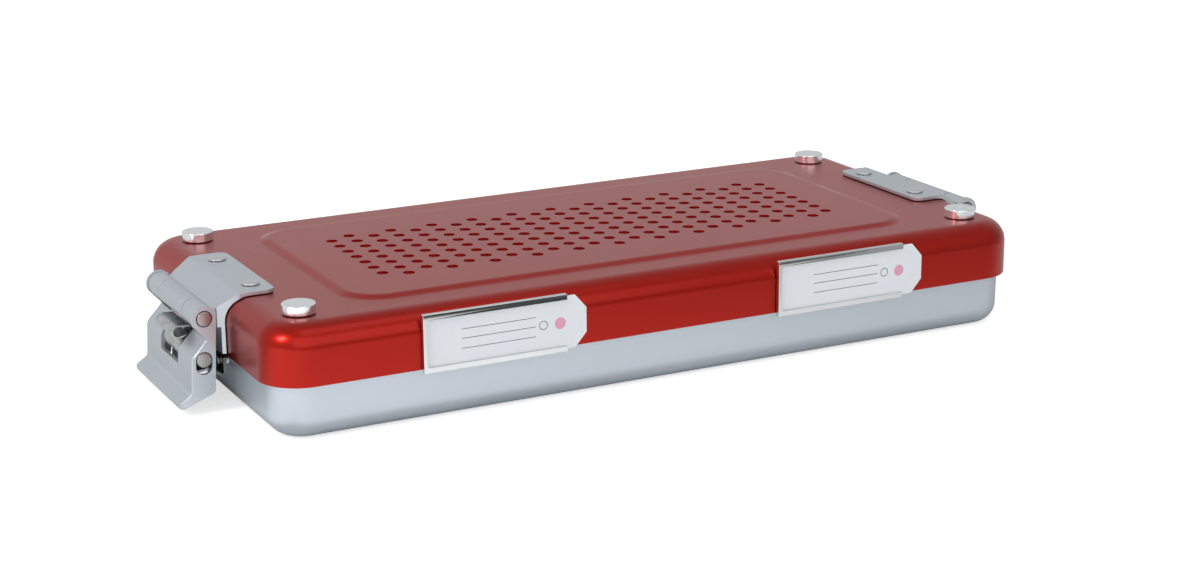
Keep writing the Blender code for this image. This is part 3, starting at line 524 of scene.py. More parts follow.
def filterPaper():
    material, shader, place = newMaterial("filterPaper", {"Roughness": 0.95})
    fibres = grain(place, 900.0, 6.0, (1.0, 0.3, 1.0), 0.7)
    crossed = grain(place, 900.0, 6.0, (0.3, 1.0, 1.0), 0.7)
    felt = (fibres + crossed) * 0.5
    feed(shader, Base_Color=felt.blend(0.35, 0.65).mixed(colour(0.74, 0.73, 0.69), colour(0.90, 0.90, 0.87)),
         Roughness=0.9 + (felt - 0.5) * 0.1, Normal=bump(place, felt, 0.5, 0.0001))
    return material


finishes = {
    "lid_red": redAnodised(), "pan_silver": silverAnodised(), "latch_grey": greySatin(), "bare_steel": bareSteel(),
    "holder_steel": holderSteel(), "silicone": siliconeRubber(), "filter_paper": filterPaper(),
}
postMetal = turnedMetal("postMetal", (0.92, 0.965, 0.99), 0.20, (0.1337, 0.0538), "XY")
rivetMetal = turnedMetal("rivetMetal", (0.66, 0.69, 0.71), 0.32, (0.1380, 0.0180), "XY")
studMetal = turnedMetal("studMetal", (0.70, 0.71, 0.72), 0.30, (0.1195, 0.0300), "XY")
hingePinMetal = turnedMetal("hingePinMetal", (0.42, 0.37, 0.365), 0.36, (0.1576, 0.0341), "XZ")
catchPinMetal = turnedMetal("catchPinMetal", (0.40, 0.39, 0.37), 0.36, (0.15836, 0.01962), "XZ")
# the catch's steel is bare steel at 0.35 of its tone: painted shade for the catch inside the lever
shadedCatchSteel = bareSteel("shadedCatchSteel", 0.35)
print("finishes mixed")


def fitted(piece, body, nodes, slot, material, angle=30.0, weighted=True):
    smooth(piece, angle, weighted)
    piece.data.materials.clear()
    piece.data.materials.append(material or finishes[slot])
    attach(piece, body)
    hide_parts(*([nodes] if isinstance(nodes, str) else nodes))
    return piece


# Lid

lid = {"halfX": 0.1500, "halfY": 0.0714, "corner": 0.0153, "edge": 0.0084, "skirt": 0.0206, "sheet": 0.0012,
       "fieldX": 0.1153, "fieldY": 0.0537, "fieldCorner": 0.0165, "rise": 0.0010, "slope": 0.0046}
vents = {"radius": 0.0021, "pitchX": 0.00835, "pitchY": 0.00820, "reach": 11, "most": 8, "sides": 24,
         "deburr": 0.00012}


def ventCutters():
    low, top = caseTop - lid["sheet"] - over, caseTop + lid["rise"]
    flare = vents["deburr"] + gap
    one = turned("vent", [(0.0, low), (vents["radius"], low), (vents["radius"], top - vents["deburr"]),
                          (vents["radius"] + flare, top + gap), (0.0, top + gap)], vents["sides"])
    cutters = []
    for column in range(-vents["reach"], vents["reach"] + 1):
        rows = vents["most"] - (column + vents["reach"] + 1) % 2
        for row in range(rows):
            spot = (column * vents["pitchX"], (row - (rows - 1) / 2) * vents["pitchY"], 0.0)
            cutter = one.copy()
            cutter.data = one.data.copy()
            cutter.location = spot
            bpy.context.scene.collection.objects.link(cutter)
            cutters.append(cutter)
    bpy.data.objects.remove(one)
    return settle(joined("ventCutters", cutters))


def makeLid():
    field = (lid["fieldX"], lid["fieldY"], lid["fieldCorner"], lid["rise"], lid["slope"], 10)
    shell = tray("lidShell", lid["halfX"], lid["halfY"], lid["corner"], lid["edge"], caseTop - lid["skirt"],
                 caseTop, field, 12)
    done()
    solidSheet(shell, lid["sheet"])
    rounded(shell, 0.0003, 2, 60.0)
    cut(shell, ventCutters())
    fitted(shell, "lid", "lid_shell", "lid_red", None)
    return shell


makeLid()
print("lid pressed and perforated")


# Stacking posts

posts = {"x": 0.1337, "y": 0.0538, "radius": 0.0058, "height": 0.0036, "chamfer": 0.0004, "shank": 0.0022,
         "head": 0.0038, "headThick": 0.0009}


def makePosts():
    top, foot, tail = caseTop + posts["height"], caseTop + gap, caseTop - lid["sheet"] - gap
    radius, chamfer = posts["radius"], posts["chamfer"]
    profile = [(0.0, top)] + [(radius - chamfer + x, top - chamfer + z)
                              for x, z in arc(0.0, 0.0, chamfer, 90.0, 0.0, 4)]
    profile += [(radius, foot + gap / 2), (radius - gap / 2, foot), (posts["shank"], foot), (posts["shank"], tail),
                (posts["head"], tail), (posts["head"], tail - posts["headThick"] / 2),
                (posts["head"] - chamfer, tail - posts["headThick"]), (0.0, tail - posts["headThick"])]
    one = turned("post", profile, 64)
    for (sx, sy), corner in cornerNames.items():
        twin = copied(one, "stackPost" + corner, Matrix.Translation((sx * posts["x"], sy * posts["y"], 0.0)))
        fitted(twin, "lid", "stack_post_" + cadCorners[sx, sy], "polished", postMetal, 25.0)
    bpy.data.objects.remove(one)


makePosts()
print("posts turned")


# Pan

pan = {"inset": 0.00245, "taper": 0.00031, "height": 0.0325, "edge": 0.0074, "rim": 0.0018, "lip": 0.0034,
       "sheet": 0.0012, "recess": 0.0066, "recessDepth": 0.0039, "flare": 0.0006}


def makePan():
    halfX, halfY, corner = lid["halfX"] - pan["inset"], lid["halfY"] - pan["inset"], lid["corner"] - pan["inset"]
    shell = plate("panShell", halfX, halfY, corner, pan["rim"])
    move(z=gap)
    inset(pan["taper"], pan["height"] - pan["rim"] - pan["edge"] - 2 * gap)
    inset(0.0, gap)
    quarterRound(pan["edge"], 12)
    bpy.ops.mesh.select_all(action="SELECT")
    bpy.ops.mesh.normals_make_consistent(inside=False)
    pick(shell, "FACE", lambda f: isMiddle(f, pan["rim"]))
    quarterRound(pan["rim"], 6)
    inset(pan["lip"] - pan["rim"], 0.0)
    bpy.ops.mesh.delete(type="ONLY_FACE")
    done()
    solidSheet(shell, pan["sheet"])
    shell.rotation_euler.x = math.pi
    shell.location.z = pan["height"]
    settle(shell)
    rounded(shell, 0.0003, 2, 60.0)

    hollow, depth, sheet, flare = pan["recess"], pan["recessDepth"], pan["sheet"], pan["flare"]
    outside = hollow + sheet
    bossLine = [(0.0, depth + sheet)] + [(outside - flare + x, depth + sheet - flare + z)
                                         for x, z in arc(0.0, 0.0, flare, 90.0, 0.0, 4)]
    bossLine += [(outside + flare - x, sheet + flare - z) for x, z in arc(0.0, 0.0, flare, 0.0, 84.0, 4)]
    bossLine += [(outside + flare, sheet / 2), (0.0, sheet / 2)]
    hollowLine = [(0.0, depth)] + [(hollow - flare + x, depth - flare + z)
                                   for x, z in arc(0.0, 0.0, flare, 90.0, 0.0, 4)]
    hollowLine += [(hollow + flare - x, flare - z) for x, z in arc(0.0, 0.0, flare, 0.0, 84.0, 4)]
    hollowLine += [(hollow + flare, -over), (0.0, -over)]
    for operation, line in (("UNION", bossLine), ("DIFFERENCE", hollowLine)):
        one = turned("recess", line, 40)
        for sx in across:
            for sy in across:
                cut(shell, copied(one, "recessCutter", Matrix.Translation((sx * posts["x"], sy * posts["y"], 0.0))),
                    operation)
        bpy.data.objects.remove(one)
    fitted(shell, "pan", "pan_shell", "pan_silver", None)


makePan()
print("pan drawn")


# Latches: each piece is modelled once in a frame at the lid's end, x outwards, and copied to both ends

latch = {"pinOut": 0.0076, "pinDrop": 0.0061, "lean": 3.0, "pinRadius": 0.0026, "pinRoom": 0.0003}
hinge = {"half": 0.0275, "sheet": 0.0013, "reach": 0.0180, "corner": 0.0035, "drop": 0.0195, "shoulder": 0.0100,
         "crease": -0.0046, "slope": 30.8, "creaseRadius": 0.0030, "hipRadius": 0.0012, "taper": 0.0250,
         "knuckle": 0.0042, "knuckleHalf": 0.0243, "knuckleMiddle": 0.0136, "slit": 0.0005, "knuckleRound": 0.00042,
         "rivetInset": 0.0120, "rivetSpread": 0.0180}
endFrames = {"Right": Matrix.Translation((lid["halfX"], 0.0, caseTop)),
             "Left": Matrix.Translation((-lid["halfX"], 0.0, caseTop)) @ Matrix.Rotation(math.pi, 4, "Z")}
leanFrame = Matrix.Translation((latch["pinOut"], 0.0, -latch["pinDrop"])) @ Matrix.Rotation(
    -math.radians(latch["lean"]), 4, "Y")


def atEnds(one, name, node, body, slot, material=None, leaning=False, angle=30.0):
    for end, place in endFrames.items():
        twin = copied(one, name + end, place @ leanFrame if leaning else place)
        fitted(twin, body.format(end.lower()), node.format(end.lower()), slot, material, angle)
    bpy.data.objects.remove(one)


def sloped(x):                  # height of the plate's sloping part
    return gap + hinge["sheet"] - (x - hinge["crease"]) * math.tan(math.radians(hinge["slope"]))


def cylinderAlongY(name, radius, half, x, z, sides=40):
    return barrel(name, [(0.0, half), (radius, half), (radius, -half), (0.0, -half)], x, z, sides)


def makeHingePlate():
    sheet, half, knuckle = hinge["sheet"], hinge["half"], hinge["knuckle"]
    axisX, axisZ, far = latch["pinOut"], -latch["pinDrop"], latch["pinOut"] + 2 * hinge["knuckle"]
    face, shoulder, inner = gap + sheet, gap + 2 * sheet, lid["edge"] + gap
    outer = fillet([(-hinge["reach"], face), (hinge["crease"], face), (shoulder, sloped(shoulder)),
                    (shoulder, -hinge["shoulder"])], [hinge["creaseRadius"], hinge["hipRadius"]])
    line = [(-hinge["reach"], gap)] + outer + [(face, -hinge["shoulder"]), (face, -hinge["drop"]),
                                               (gap, -hinge["drop"])]
    line += arc(-lid["edge"], -lid["edge"], inner, 0.0, 90.0, 20)
    piece = slab("hingePlate", line, half)
    plan = fillet([(0.0, -half), (-hinge["reach"], -half), (-hinge["reach"], half), (0.0, half)],
                  [hinge["corner"], hinge["corner"]], 8)[1:-1]
    plan += [(hinge["crease"], half), (shoulder, hinge["taper"]), (far, hinge["taper"]), (far, -hinge["taper"]),
             (shoulder, -hinge["taper"]), (hinge["crease"], -half)]
    blank = slab("blank", plan, 2 * hinge["drop"])
    blank.rotation_euler.x = math.radians(-90.0)
    cut(piece, settle(blank), "INTERSECT")
    rounded(piece, 0.0003, 2, 50.0)
    valley = next(x / 10000 for x in range(30, 60)
                  if math.hypot(x / 10000 - axisX, sloped(x / 10000) - axisZ) < knuckle)
    start = (0.0, sloped(0.0) - sheet / 2)
    wrap = fillet([start, (0.0008, sloped(0.0008)), (valley, sloped(valley)),
                   arc(axisX, axisZ, knuckle, 128.0, 90.0, 1)[0]],
                  [0.0001, 0.0007])[:-1]
    wrap += arc(axisX, axisZ, knuckle, 128.0, -110.0, 36) + [(face - sheet / 2, -hinge["shoulder"] + sheet)]
    knuckles = slab("knuckles", wrap, hinge["knuckleHalf"])
    for side in across:
        at = side * hinge["knuckleMiddle"]
        cut(knuckles, box("slit", (shoulder + sheet, at - hinge["slit"] / 2, axisZ - knuckle - over),
                          (far, at + hinge["slit"] / 2, over)))
    rounded(knuckles, hinge["knuckleRound"], 3, 60.0)
    cut(piece, knuckles, "UNION")
    cut(piece, cylinderAlongY("bore", latch["pinRadius"] + latch["pinRoom"], half + over, axisX, axisZ))
    atEnds(piece, "hingePlate", "hinge_plate_{}", "lid", "latch_grey")


makeHingePlate()

rivet = {"shank": 0.0015, "head": 0.0032, "headThick": 0.0008, "tail": 0.0026}


def makePlateRivets():
    seat, tail, thick = gap + hinge["sheet"] + gap, -lid["sheet"] - gap, rivet["headThick"]
    dome = [(rivet["head"] * math.sin(a), seat + thick / 3 + thick * 2 / 3 * math.cos(a))
            for a in (math.radians(90.0) * step / 8 for step in range(9))]
    line = dome + [(rivet["head"], seat), (rivet["shank"], seat), (rivet["shank"], tail), (rivet["tail"], tail),
                   (rivet["tail"], tail - thick * 0.6), (rivet["tail"] * 0.8, tail - thick), (0.0, tail - thick)]
    one = turned("rivet", line, 40)
    for end, place in endFrames.items():
        for side in across:
            spot = place @ Matrix.Translation((-hinge["rivetInset"], side * hinge["rivetSpread"], 0.0))
            face = "front" if spot.translation.y < 0 else "rear"
            twin = copied(one, f"plateRivet{face.title()}{end}", spot)
            fitted(twin, "lid", f"plate_rivet_{face}_{end.lower()}", "polished", rivetMetal, 35.0)
    bpy.data.objects.remove(one)


makePlateRivets()

lever = {"half": 0.0260, "sheet": 0.0014, "back": 0.0041, "front": 0.0045, "ear": 0.0046, "earEnd": -38.0,
         "throatBack": 0.0010, "throatDrop": 0.0075, "fold": 0.0138, "foldRadius": 0.0030, "tabRoot": 0.0264,
         "tabRadius": 0.0025, "tabOut": 0.0093, "tabDrop": 0.0301, "tabRound": 0.0013, "heel": 0.0263,
         "heelRadius": 0.0016, "foldRound": 0.0005, "tabCorner": 0.0026, "windowHalf": 0.0098, "shift": 0.0011,
         "windowDrop": 0.0193,
         "pinProud": 0.0003}
catchPin = {"drop": 0.0145, "travel": 0.0023}


def makePins():
    half, radius, chamfer = lever["half"] + lever["pinProud"], latch["pinRadius"], 0.0003
    line = [(0.0, half)] + [(radius - chamfer + x, half - chamfer + z)
                            for x, z in arc(0.0, 0.0, chamfer, 90.0, 0.0, 3)]
    line += [(r, -z) for r, z in reversed(line)]
    atEnds(barrel("pin", line, latch["pinOut"], -latch["pinDrop"]), "hingePin", "hinge_pin_{}", "lid", "bare_steel",
           hingePinMetal)
    atEnds(barrel("pin", line, 0.0, -catchPin["drop"]), "catchPin", "catch_pin_{}", "catch_pin_{}", "bare_steel",
           catchPinMetal, True)


def leverLines():
    throat, fold = (-lever["throatBack"], -lever["throatDrop"]), (lever["front"], -lever["fold"])
    root, tip = Vector((lever["front"], -lever["tabRoot"])), Vector((lever["tabOut"], -lever["tabDrop"]))
    along = (tip - root).normalized()
    under, half = Vector((along.y, -along.x)), lever["tabRound"]
    end = tip - along * half
    front = fillet([throat, fold, root, end], [lever["foldRadius"], lever["tabRadius"]])
    middle, start = end + under * half, math.degrees(math.atan2(-under.y, -under.x))
    hem = arc(middle.x, middle.y, half, start, start - 180.0, 10)
    rise = math.degrees(math.atan2(math.sqrt(lever["ear"] ** 2 - lever["back"] ** 2), -lever["back"]))
    heel = fillet([hem[-1], (-lever["back"], -lever["heel"]), (-lever["back"], 0.0)], [lever["heelRadius"]])
    outer = front[:-1] + hem[:-1] + heel[:-1] + arc(0.0, 0.0, lever["ear"], rise, lever["earEnd"], 26)
    low = Vector(hem[-1])
    corner = low - along * (low.x - lever["front"] + lever["sheet"]) / along.x
    inside = beside(fillet([throat, fold, (lever["front"], corner.y)], [lever["foldRadius"]]), -lever["sheet"])
    far = lever["tabDrop"] + 2 * over
    space = [throat, (far, -lever["throatDrop"]), (far, far), (-far, far), (-far, -far), (low.x, -far), hem[-1]]
    return outer, space + inside[::-1]


def isFold(edge):               # where the lever's front turns into its cheeks
    a, b = (v.co for v in edge.verts)
    return (abs(a.y - b.y) < tiny and min(a.x, b.x) > -lever["throatBack"] - tiny
            and min(a.z, b.z) > -lever["tabDrop"]
            and max(a.z, b.z) < -lever["throatDrop"] + tiny)


def makeLever():
    outer, space = leverLines()
    piece = slab("latchLever", outer, lever["half"])
    edit(piece)
    pick(piece, "EDGE", isFold)
    bpy.ops.mesh.bevel(offset=lever["foldRound"], segments=6, affect="EDGES")
    done()
    cut(piece, slab("leverSpace", space, lever["half"] - lever["sheet"]))
    run, dip = lever["tabOut"] - lever["front"], lever["tabDrop"] - lever["tabRoot"]
    reach = lever["tabDrop"]
    frame = plate("tabFrame", reach, lever["half"] + gap / 4, lever["tabCorner"], -reach, 8)
    move(z=2 * reach)
    bpy.ops.mesh.select_all(action="SELECT")
    bpy.ops.mesh.normals_make_consistent(inside=False)
    done()
    along = Vector((run, 0.0, -dip)).normalized()
    frame.rotation_euler.y = math.atan2(dip, run)
    frame.location = Vector((lever["tabOut"], 0.0, -lever["tabDrop"])) - along * reach
    cut(piece, settle(frame), "INTERSECT")
    shift, half = lever["shift"], lever["windowHalf"]
    cut(piece, box("window", (-lever["back"] - over, shift - half, -lever["windowDrop"]),
                   (lever["tabOut"] + over, shift + half, lever["ear"] + over)))
    radius, drop = latch["pinRadius"] + latch["pinRoom"], -catchPin["drop"]
    slot = arc(0.0, drop, radius, 0.0, 180.0, 16) + arc(0.0, drop - catchPin["travel"], radius, 180.0, 360.0, 16)
    cut(piece, slab("leverSlot", slot, lever["half"] + over))
    cut(piece, cylinderAlongY("leverBore", radius, lever["half"] + over, 0.0, 0.0))
    rounded(piece, 0.0003, 3, 55.0)
    atEnds(piece, "latchLever", "latch_lever_{}", "lever_{}", "latch_grey", None, True)


hook = {"half": 0.0090, "sheet": 0.0008, "wrap": 0.0034, "wrapEnd": -70.0, "legOut": 0.0004, "foot": 0.0089,
        "tip": (-0.0066, 0.0082), "bend": 0.0008}
spring = {"half": 0.0090, "sheet": 0.0007, "top": 0.0064, "nose": 0.0062, "radius": 0.0021, "back": 0.0003,
          "backRise": 0.0010}


def makeHookAndSpring():
    axis, wrap = -catchPin["drop"], hook["wrap"]
    turn = arc(0.0, axis, wrap, 100.0, hook["wrapEnd"], 16)
    (x, z), (lastX, lastZ) = turn[-1], turn[-2]
    legZ = z + (hook["legOut"] - x) * (z - lastZ) / (x - lastX)
    leg = [turn[-1], (hook["legOut"], legZ), (hook["legOut"], axis - hook["foot"]), (-0.0033, axis - hook["foot"]),
           (hook["tip"][0], axis - hook["tip"][1])]
    path = turn[:-1] + fillet(leg, [hook["bend"] / 2, hook["bend"], hook["bend"]])
    atEnds(strip("hook", path, hook["half"], hook["sheet"], lever["shift"]), "latchHook", "latch_hook_{}",
           "catch_pin_{}", "bare_steel", None, True)
    radius = spring["radius"]
    middle = -spring["top"] - radius
    nose = arc(spring["nose"] - radius, middle, radius, 90.0, -110.0, 18)
    path = [(spring["back"], -spring["top"])] + nose + [(spring["back"], middle - radius + spring["backRise"])]
    atEnds(strip("spring", path, spring["half"], spring["sheet"], lever["shift"]), "latchSpring", "latch_spring_{}",
           "lever_{}", "bare_steel", None, True)


makePins()
makeLever()
makeHookAndSpring()
print("latches folded")


# Pan catches

catch = {"half": 0.0240, "sheet": 0.0011, "out": 0.0005, "top": 0.0214, "bottom": 0.0283, "lipOut": 0.0046,
         "lip": 0.0257, "lipTop": 0.0215, "bend": 0.0009, "rivetDrop": 0.0240, "rivetSpread": 0.0180,
         "shank": 0.0012, "head": 0.0022, "thick": 0.0008}


def makeCatches():
    line = [(catch["out"], -catch["top"]), (catch["out"], -catch["bottom"]), (catch["lipOut"], -catch["lip"]),
            (catch["lipOut"], -catch["lipTop"])]
    piece = strip("catch", fillet(line, [catch["bend"], catch["bend"]]), catch["half"], catch["sheet"])
    atEnds(piece, "panCatch", "pan_catch_{}", "pan", "pan_silver", shadedCatchSteel)
    height = caseTop - catch["rivetDrop"]
    wall = -(pan["inset"] + 0.0004 * (1 - height / pan["height"]))
    legIn, legOut, thick = catch["out"] - catch["sheet"] / 2, catch["out"] + catch["sheet"] / 2, catch["thick"]
    inner, head, shank = wall - pan["sheet"] - gap, catch["head"], catch["shank"]
    dome = [(head * math.sin(a), legOut + gap + thick / 2 + thick / 2 * math.cos(a))
            for a in (math.radians(90.0) * step / 6 for step in range(7))]
    profile = dome + [(head, legOut + gap), (shank, legOut + gap), (shank, legIn - gap), (head, legIn - gap),
                      (head, wall + gap), (shank, wall + gap), (shank, inner), (head, inner),
                      (head, inner - thick / 2),
                      (head * 0.8, inner - thick), (0.0, inner - thick)]
    one = turned("rivet", profile, 32)
    one.rotation_euler.y = math.radians(90.0)
    settle(one)
    for end, place in endFrames.items():
        for side in across:
            spot = place @ Matrix.Translation((0.0, side * catch["rivetSpread"], -catch["rivetDrop"]))
            face = "front" if spot.translation.y < 0 else "rear"
            twin = copied(one, f"catchRivet{face.title()}{end}", spot)
            fitted(twin, "pan", f"catch_rivet_{face}_{end.lower()}", "polished", rivetMetal, 35.0)
    bpy.data.objects.remove(one)


makeCatches()
print("catches riveted")


# Label holders and cards

holder = {"spread": 0.0692, "shift": -0.0015, "length": 0.0536, "height": 0.0205, "drop": 0.0010, "sheet": 0.0005,
          "lip": 0.0019, "endLip": 0.0012, "round": 0.0002, "lean": 0.0003}
card = {"thick": 0.0004, "shown": 0.0076, "pulled": 0.0011, "cutLong": 0.0044, "cutHigh": 0.0050,
        "lines": (0.0323, 0.0290, 0.0255), "lineHalf": 0.00012}


def cardPrint(name, left, right, tip):
    material, shader, place = newMaterial(name, {"Roughness": 0.5, "Specular IOR Level": 0.35})
    x, y, z = parted(place)
    front = y < -lid["halfY"] - gap - holder["sheet"] - gap - card["thick"] * 0.6
    along = (x > tip - 0.0470) * (x < tip - 0.0194)
    ink = z.within(card["lines"][0], card["lineHalf"])
    for height in card["lines"][1:]:
        ink = ink + z.within(height, card["lineHalf"])
    dotX, dotZ = tip - 0.0101, 0.0290
    ringX, ringZ = dotX - 0.0064, 0.0291
    ring = (((x - ringX) ** 2.0 + (z - ringZ) ** 2.0) ** 0.5).within(0.0015, 0.00013)
    dot = (((x - dotX) ** 2.0 + (z - dotZ) ** 2.0) ** 0.5) < 0.0021
    fibres = grain(place, 1400.0, 4.0)
    paper = fibres.mixed(colour(0.74, 0.775, 0.82), colour(0.80, 0.835, 0.88))
    inked = ((ink * along + ring) * front).mixed(paper, colour(0.10, 0.10, 0.11))
    feed(shader, Base_Color=(dot * front).mixed(inked, colour(0.74, 0.36, 0.50)),
         Roughness=0.48 + (fibres - 0.5) * 0.1, Normal=bump(place, fibres, 0.1, 0.00002))
    return material


def makeLabel(end, sx):
    centre = sx * holder["spread"] + holder["shift"]
    left, right = centre - holder["length"] / 2, centre + holder["length"] / 2
    top, bottom = caseTop - holder["drop"], caseTop - holder["drop"] - holder["height"]
    sheet, back = holder["sheet"], -lid["halfY"] - gap
    depth = 2 * sheet + card["thick"] + 2 * gap
    piece = slab("labelHolder" + end, [(back, bottom), (back - depth, bottom), (back - depth, top - holder["lip"]),
                                       (back - depth + holder["lean"], top), (back, top)], holder["length"] / 2)
    piece.rotation_euler.z = math.radians(90.0)
    piece.location.x = centre
    settle(piece)
    rounded(piece, holder["round"], 3)
    channel = box("channel", (left + sheet, back - depth + sheet, bottom + sheet),
                  (right + over, back - sheet, top - sheet))
    cut(piece, channel)
    window = box("window", (left + holder["endLip"], back - depth - over, bottom + holder["lip"]),
                 (right + over, back - sheet - gap, top - holder["lip"]))
    edit(window)
    pick(window, "EDGE", lambda e: abs(e.verts[0].co.y - e.verts[1].co.y) > gap and e.verts[0].co.x < centre)
    bpy.ops.mesh.bevel(offset=0.0012, segments=6, affect="EDGES")
    done()
    cut(piece, window)
    fitted(piece, "lid", "label_holder_" + end.lower(), "holder_steel", None)

    first, tip = left + sheet + gap, right + card["shown"] + max(sx, 0) * card["pulled"]
    low, high = bottom + sheet + gap, top - sheet - gap
    line = [(first, low), (tip - card["cutLong"], low), (tip, low + card["cutHigh"]), (tip, high - card["cutHigh"]),
            (tip - card["cutLong"], high), (first, high)]
    paper = slab("labelCard" + end, line, card["thick"] / 2, back - sheet - gap - card["thick"] / 2)
    rounded(paper, 0.00008, 2)
    fitted(paper, "card_" + end.lower(), "label_card_" + end.lower(), "label_white",
           cardPrint("cardPrint" + end, first, right, tip))


for end, sx in (("Left", -1), ("Right", 1)):
    makeLabel(end, sx)
print("labels slid in")


# What the lid hides: gasket, filter, retainer and its studs

inside = {"filterX": 0.1090, "filterY": 0.0485, "filterCorner": 0.0100,
          "filterTop": 0.0397, "filterThick": 0.0006, "retainerX": 0.1275, "retainerY": 0.0560,
          "retainerCorner": 0.0110, "retainerEdge": 0.0020, "retainerRim": 0.0032, "retainerTop": 0.0376,
          "retainerSheet": 0.0010, "fieldX": 0.1100, "fieldY": 0.0490, "fieldCorner": 0.0100, "fieldTop": 0.0388,
          "fieldSlope": 0.0025, "open": 0.0110, "openX": 0.0340, "openY": 0.0290, "studX": 0.1195, "studY": 0.0300,
          "shank": 0.0020, "head": 0.0038, "thick": 0.0008, "run": 0.0065}


def makeInside():
    sheet = plate("filterSheet", inside["filterX"], inside["filterY"], inside["filterCorner"],
                  inside["filterTop"] - inside["filterThick"], 10)
    move(z=inside["filterThick"])
    bpy.ops.mesh.select_all(action="SELECT")
    bpy.ops.mesh.normals_make_consistent(inside=False)
    done()
    rounded(sheet, 0.0001, 2)
    fitted(sheet, "lid", "filter_sheet", "filter_paper", None)

    top = inside["retainerTop"]
    field = (inside["fieldX"], inside["fieldY"], inside["fieldCorner"], inside["fieldTop"] - top,
             inside["fieldSlope"], 8)
    piece = tray("filterRetainer", inside["retainerX"], inside["retainerY"], inside["retainerCorner"],
                 inside["retainerEdge"], top - inside["retainerRim"], top, field, 6)
    done()
    solidSheet(piece, inside["retainerSheet"])
    low, high = top - inside["retainerSheet"] - over, inside["fieldTop"] + over
    one = turned("opening", [(0.0, low), (inside["open"], low), (inside["open"], high), (0.0, high)], 40)
    cutters = [copied(one, "opening",
                      Matrix.Translation(((column - 2.5) * inside["openX"], row * inside["openY"], 0.0)))
               for column in range(6) for row in across + (0,)]
    cut(piece, joined("openings", cutters))
    bpy.data.objects.remove(one)
    wide, narrow = inside["head"] + 2 * gap, inside["shank"] + gap
    turn = math.degrees(math.asin(narrow / wide))
    hole = arc(0.0, -inside["run"], wide, 90.0 + turn, 450.0 - turn, 24) + arc(0.0, 0.0, narrow, 0.0, 180.0, 12)
    slot = slab("keyhole", hole, (high - low) / 2)
    slot.rotation_euler.x = math.radians(-90.0)
    settle(slot)
    for sx in across:
        for sy in across:
            cut(piece, copied(slot, "keyholeCutter", Matrix.Translation(
                (sx * inside["studX"], sy * inside["studY"], (low + high) / 2))))
    bpy.data.objects.remove(slot)
    rounded(piece, 0.0002, 2, 60.0)
    fitted(piece, "retainer", "filter_retainer", "pan_silver", None)

    seat, hung = caseTop - lid["sheet"] - gap, top - inside["retainerSheet"] - gap
    head, shank, thick = inside["head"], inside["shank"], inside["thick"]
    line = [(0.0, seat), (head, seat), (head, seat - thick), (shank, seat - thick), (shank, hung), (head, hung),
            (head, hung - thick / 2), (head * 0.85, hung - thick), (0.0, hung - thick)]
    one = turned("stud", line, 40)
    for (sx, sy), corner in cornerNames.items():
        twin = copied(one, "retainerStud" + corner,
                      Matrix.Translation((sx * inside["studX"], sy * inside["studY"], 0.0)))
        fitted(twin, "lid", "retainer_stud_" + cadCorners[sx, sy], "pan_silver", studMetal, 35.0)
    bpy.data.objects.remove(one)


makeInside()
for name, node in frame["nodes"].items():
    if name == "lid_gasket":
        node.data.materials.clear()
        node.data.materials.append(finishes["silicone"])
print("inside of the lid fitted")


# Floor, light and camera

stage = {"floorHalf": 3.0, "floorDrop": 0.0002, "paper": 0.75, "glow": 0.62, "room": 0.76, "roomX": -0.15,
         "roomY": 0.06, "roomZ": 0.05, "near": (0.070, 0.086), "far": (0.09, 0.19), "front": 0.49, "frontX": -1.2,
         "fade": 0.27, "fadeX": 0.7, "most": 1.0, "side": (0.150, 0.158), "sideY": (-0.01, 0.052),
         "sideGlow": 0.6, "leftDim": (0.162, 0.178), "leftDimFront": (-0.05, -0.02), "leftDimBack": (-0.005, 0.008),
         "leftDimMost": 0.5, "distant": (0.35, 0.70), "dark": 0.93, "brightBand": (0.02, 0.16), "brightY": (0.2, 0.7),
         "darkBand": (0.03, 0.10), "darkY": (0.83, 0.90)}
lamps = {
    "frontSoftbox": {"at": (-0.15, -1.45, 0.78), "size": (2.0, 1.3), "radiance": 0.90},
    "leftSoftbox": {"at": (-1.05, -0.30, 0.82), "size": (0.30, 0.30), "radiance": 17.0},
    "topSoftbox": {"at": (0.05, -0.30, 0.85), "size": (0.50, 0.40), "radiance": 0.8},
}


def newTree(holder):
    holder.use_nodes = True
    holder.node_tree.nodes.clear()
    return Wire(holder.node_tree, None)


def rays(start):
    path = start.add("ShaderNodeLightPath")
    return start.maths("MAXIMUM", path.of("Is Camera Ray"), path.of("Is Transmission Ray")), path.of("Is Glossy Ray")


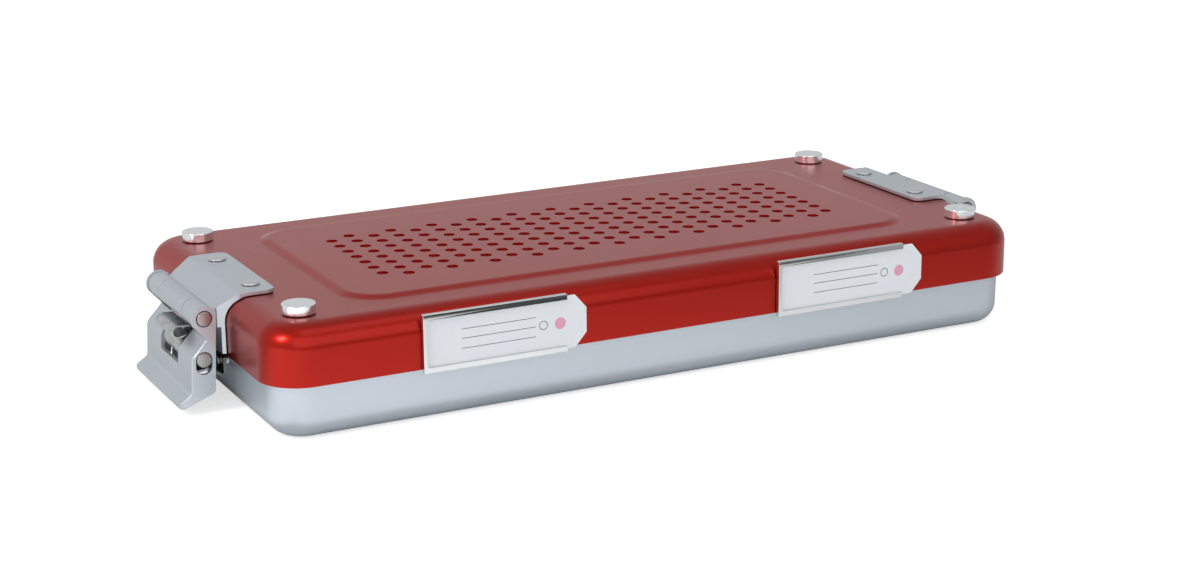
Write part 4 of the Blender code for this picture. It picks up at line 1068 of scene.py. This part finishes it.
def makeFloor():
    deselectAll()
    bpy.ops.mesh.primitive_plane_add(size=2 * stage["floorHalf"], location=(0.0, 0.0, -stage["floorDrop"]))
    floor = started("floor")
    edit(floor)
    bpy.ops.mesh.subdivide(number_cuts=3)
    done()
    material = bpy.data.materials.new("floorPaper")
    start = newTree(material)
    x, y, z = parted(start.add("ShaderNodeTexCoord", output="Object"))
    out, left = 0.0 - y, 0.0 - x
    # painted light seen only in glossy rays: the floor glows in front of the case, more to the left, and beside the
    # left end, in place of the left lamp's light on the floor; close to the case it gets no glow, a painted shadow
    front = x * stage["frontX"] + stage["front"] - out.blend(*stage["far"]) * (x * stage["fadeX"] + stage["fade"])
    # painted shade seen only in glossy rays: the floor's colour is darkened beside the left end and far off
    distant = out.blend(*stage["distant"])
    alongside = y.blend(*stage["leftDimFront"]) * (1.0 - y.blend(*stage["leftDimBack"]))
    beside = left.blend(*stage["leftDim"]) * alongside * stage["leftDimMost"]
    dim = 1.0 - (1.0 - beside) * (1.0 - distant * stage["dark"])
    side = left.blend(*stage["side"]) * out.blend(*stage["sideY"]) * stage["sideGlow"]
    mirrored = start.maths("MAXIMUM", out.blend(*stage["near"]) * front, side)
    mirrored = start.maths("MINIMUM", start.maths("MAXIMUM", mirrored * (1.0 - distant), 0.0), stage["most"])
    seen, gloss = rays(start)
    paper = start.add("ShaderNodeBsdfDiffuse", Color=(1.0 - gloss * dim) * stage["paper"])
    glow = start.add("ShaderNodeEmission", Strength=seen * stage["glow"] + gloss * mirrored)
    start.add("ShaderNodeOutputMaterial", Surface=start.add("ShaderNodeAddShader", i0=paper, i1=glow))
    floor.data.materials.append(material)


def makeWorld():
    world = bpy.data.worlds.new("studio")
    bpy.context.scene.world = world
    start = newTree(world)
    x, y, z = parted(start.add("ShaderNodeTexCoord", output="Generated"))
    room = x * stage["roomX"] + y * stage["roomY"] + z * stage["roomZ"] + stage["room"]
    seen, gloss = rays(start)
    backdrop = gloss * (1.0 - abs(z).blend(*stage["brightBand"])) * y.blend(*stage["brightY"])
    band = gloss * (1.0 - abs(z).blend(*stage["darkBand"])) * (0.0 - y).blend(*stage["darkY"]) * stage["dark"]
    seen = start.maths("MAXIMUM", seen, backdrop)
    strength = start.add("ShaderNodeMix", {"data_type": "FLOAT"}, i0=seen, i2=room * (1.0 - band), i3=1.0)
    start.add("ShaderNodeOutputWorld", Surface=start.add("ShaderNodeBackground", Strength=strength))


def makeLamps():
    for name, values in lamps.items():
        data = bpy.data.lights.new(name, "AREA")
        data.shape, (data.size, data.size_y) = "RECTANGLE", values["size"]
        data.energy = values["radiance"] * math.pi * data.size * data.size_y
        lamp = bpy.data.objects.new(name, data)
        bpy.context.scene.collection.objects.link(lamp)
        lamp.location = values["at"]
        lamp.rotation_euler = (-Vector(values["at"])).to_track_quat("-Z", "Y").to_euler()


makeFloor()
makeWorld()
makeLamps()

cameraData = bpy.data.cameras.new("camera")
cameraData.sensor_width, cameraData.lens = 36.0, 69.435
cameraData.clip_start = 0.01
camera = bpy.data.objects.new("camera", cameraData)
camera.location = (-0.38176, -0.75388, 0.26029)
camera.rotation_euler = [math.radians(turn) for turn in (73.9625, 0.4007, -27.3658)]
bpy.context.scene.collection.objects.link(camera)
bpy.context.scene.camera = camera
bpy.context.scene.view_settings.view_transform = "Standard"
print("stage lit")

deselectAll()
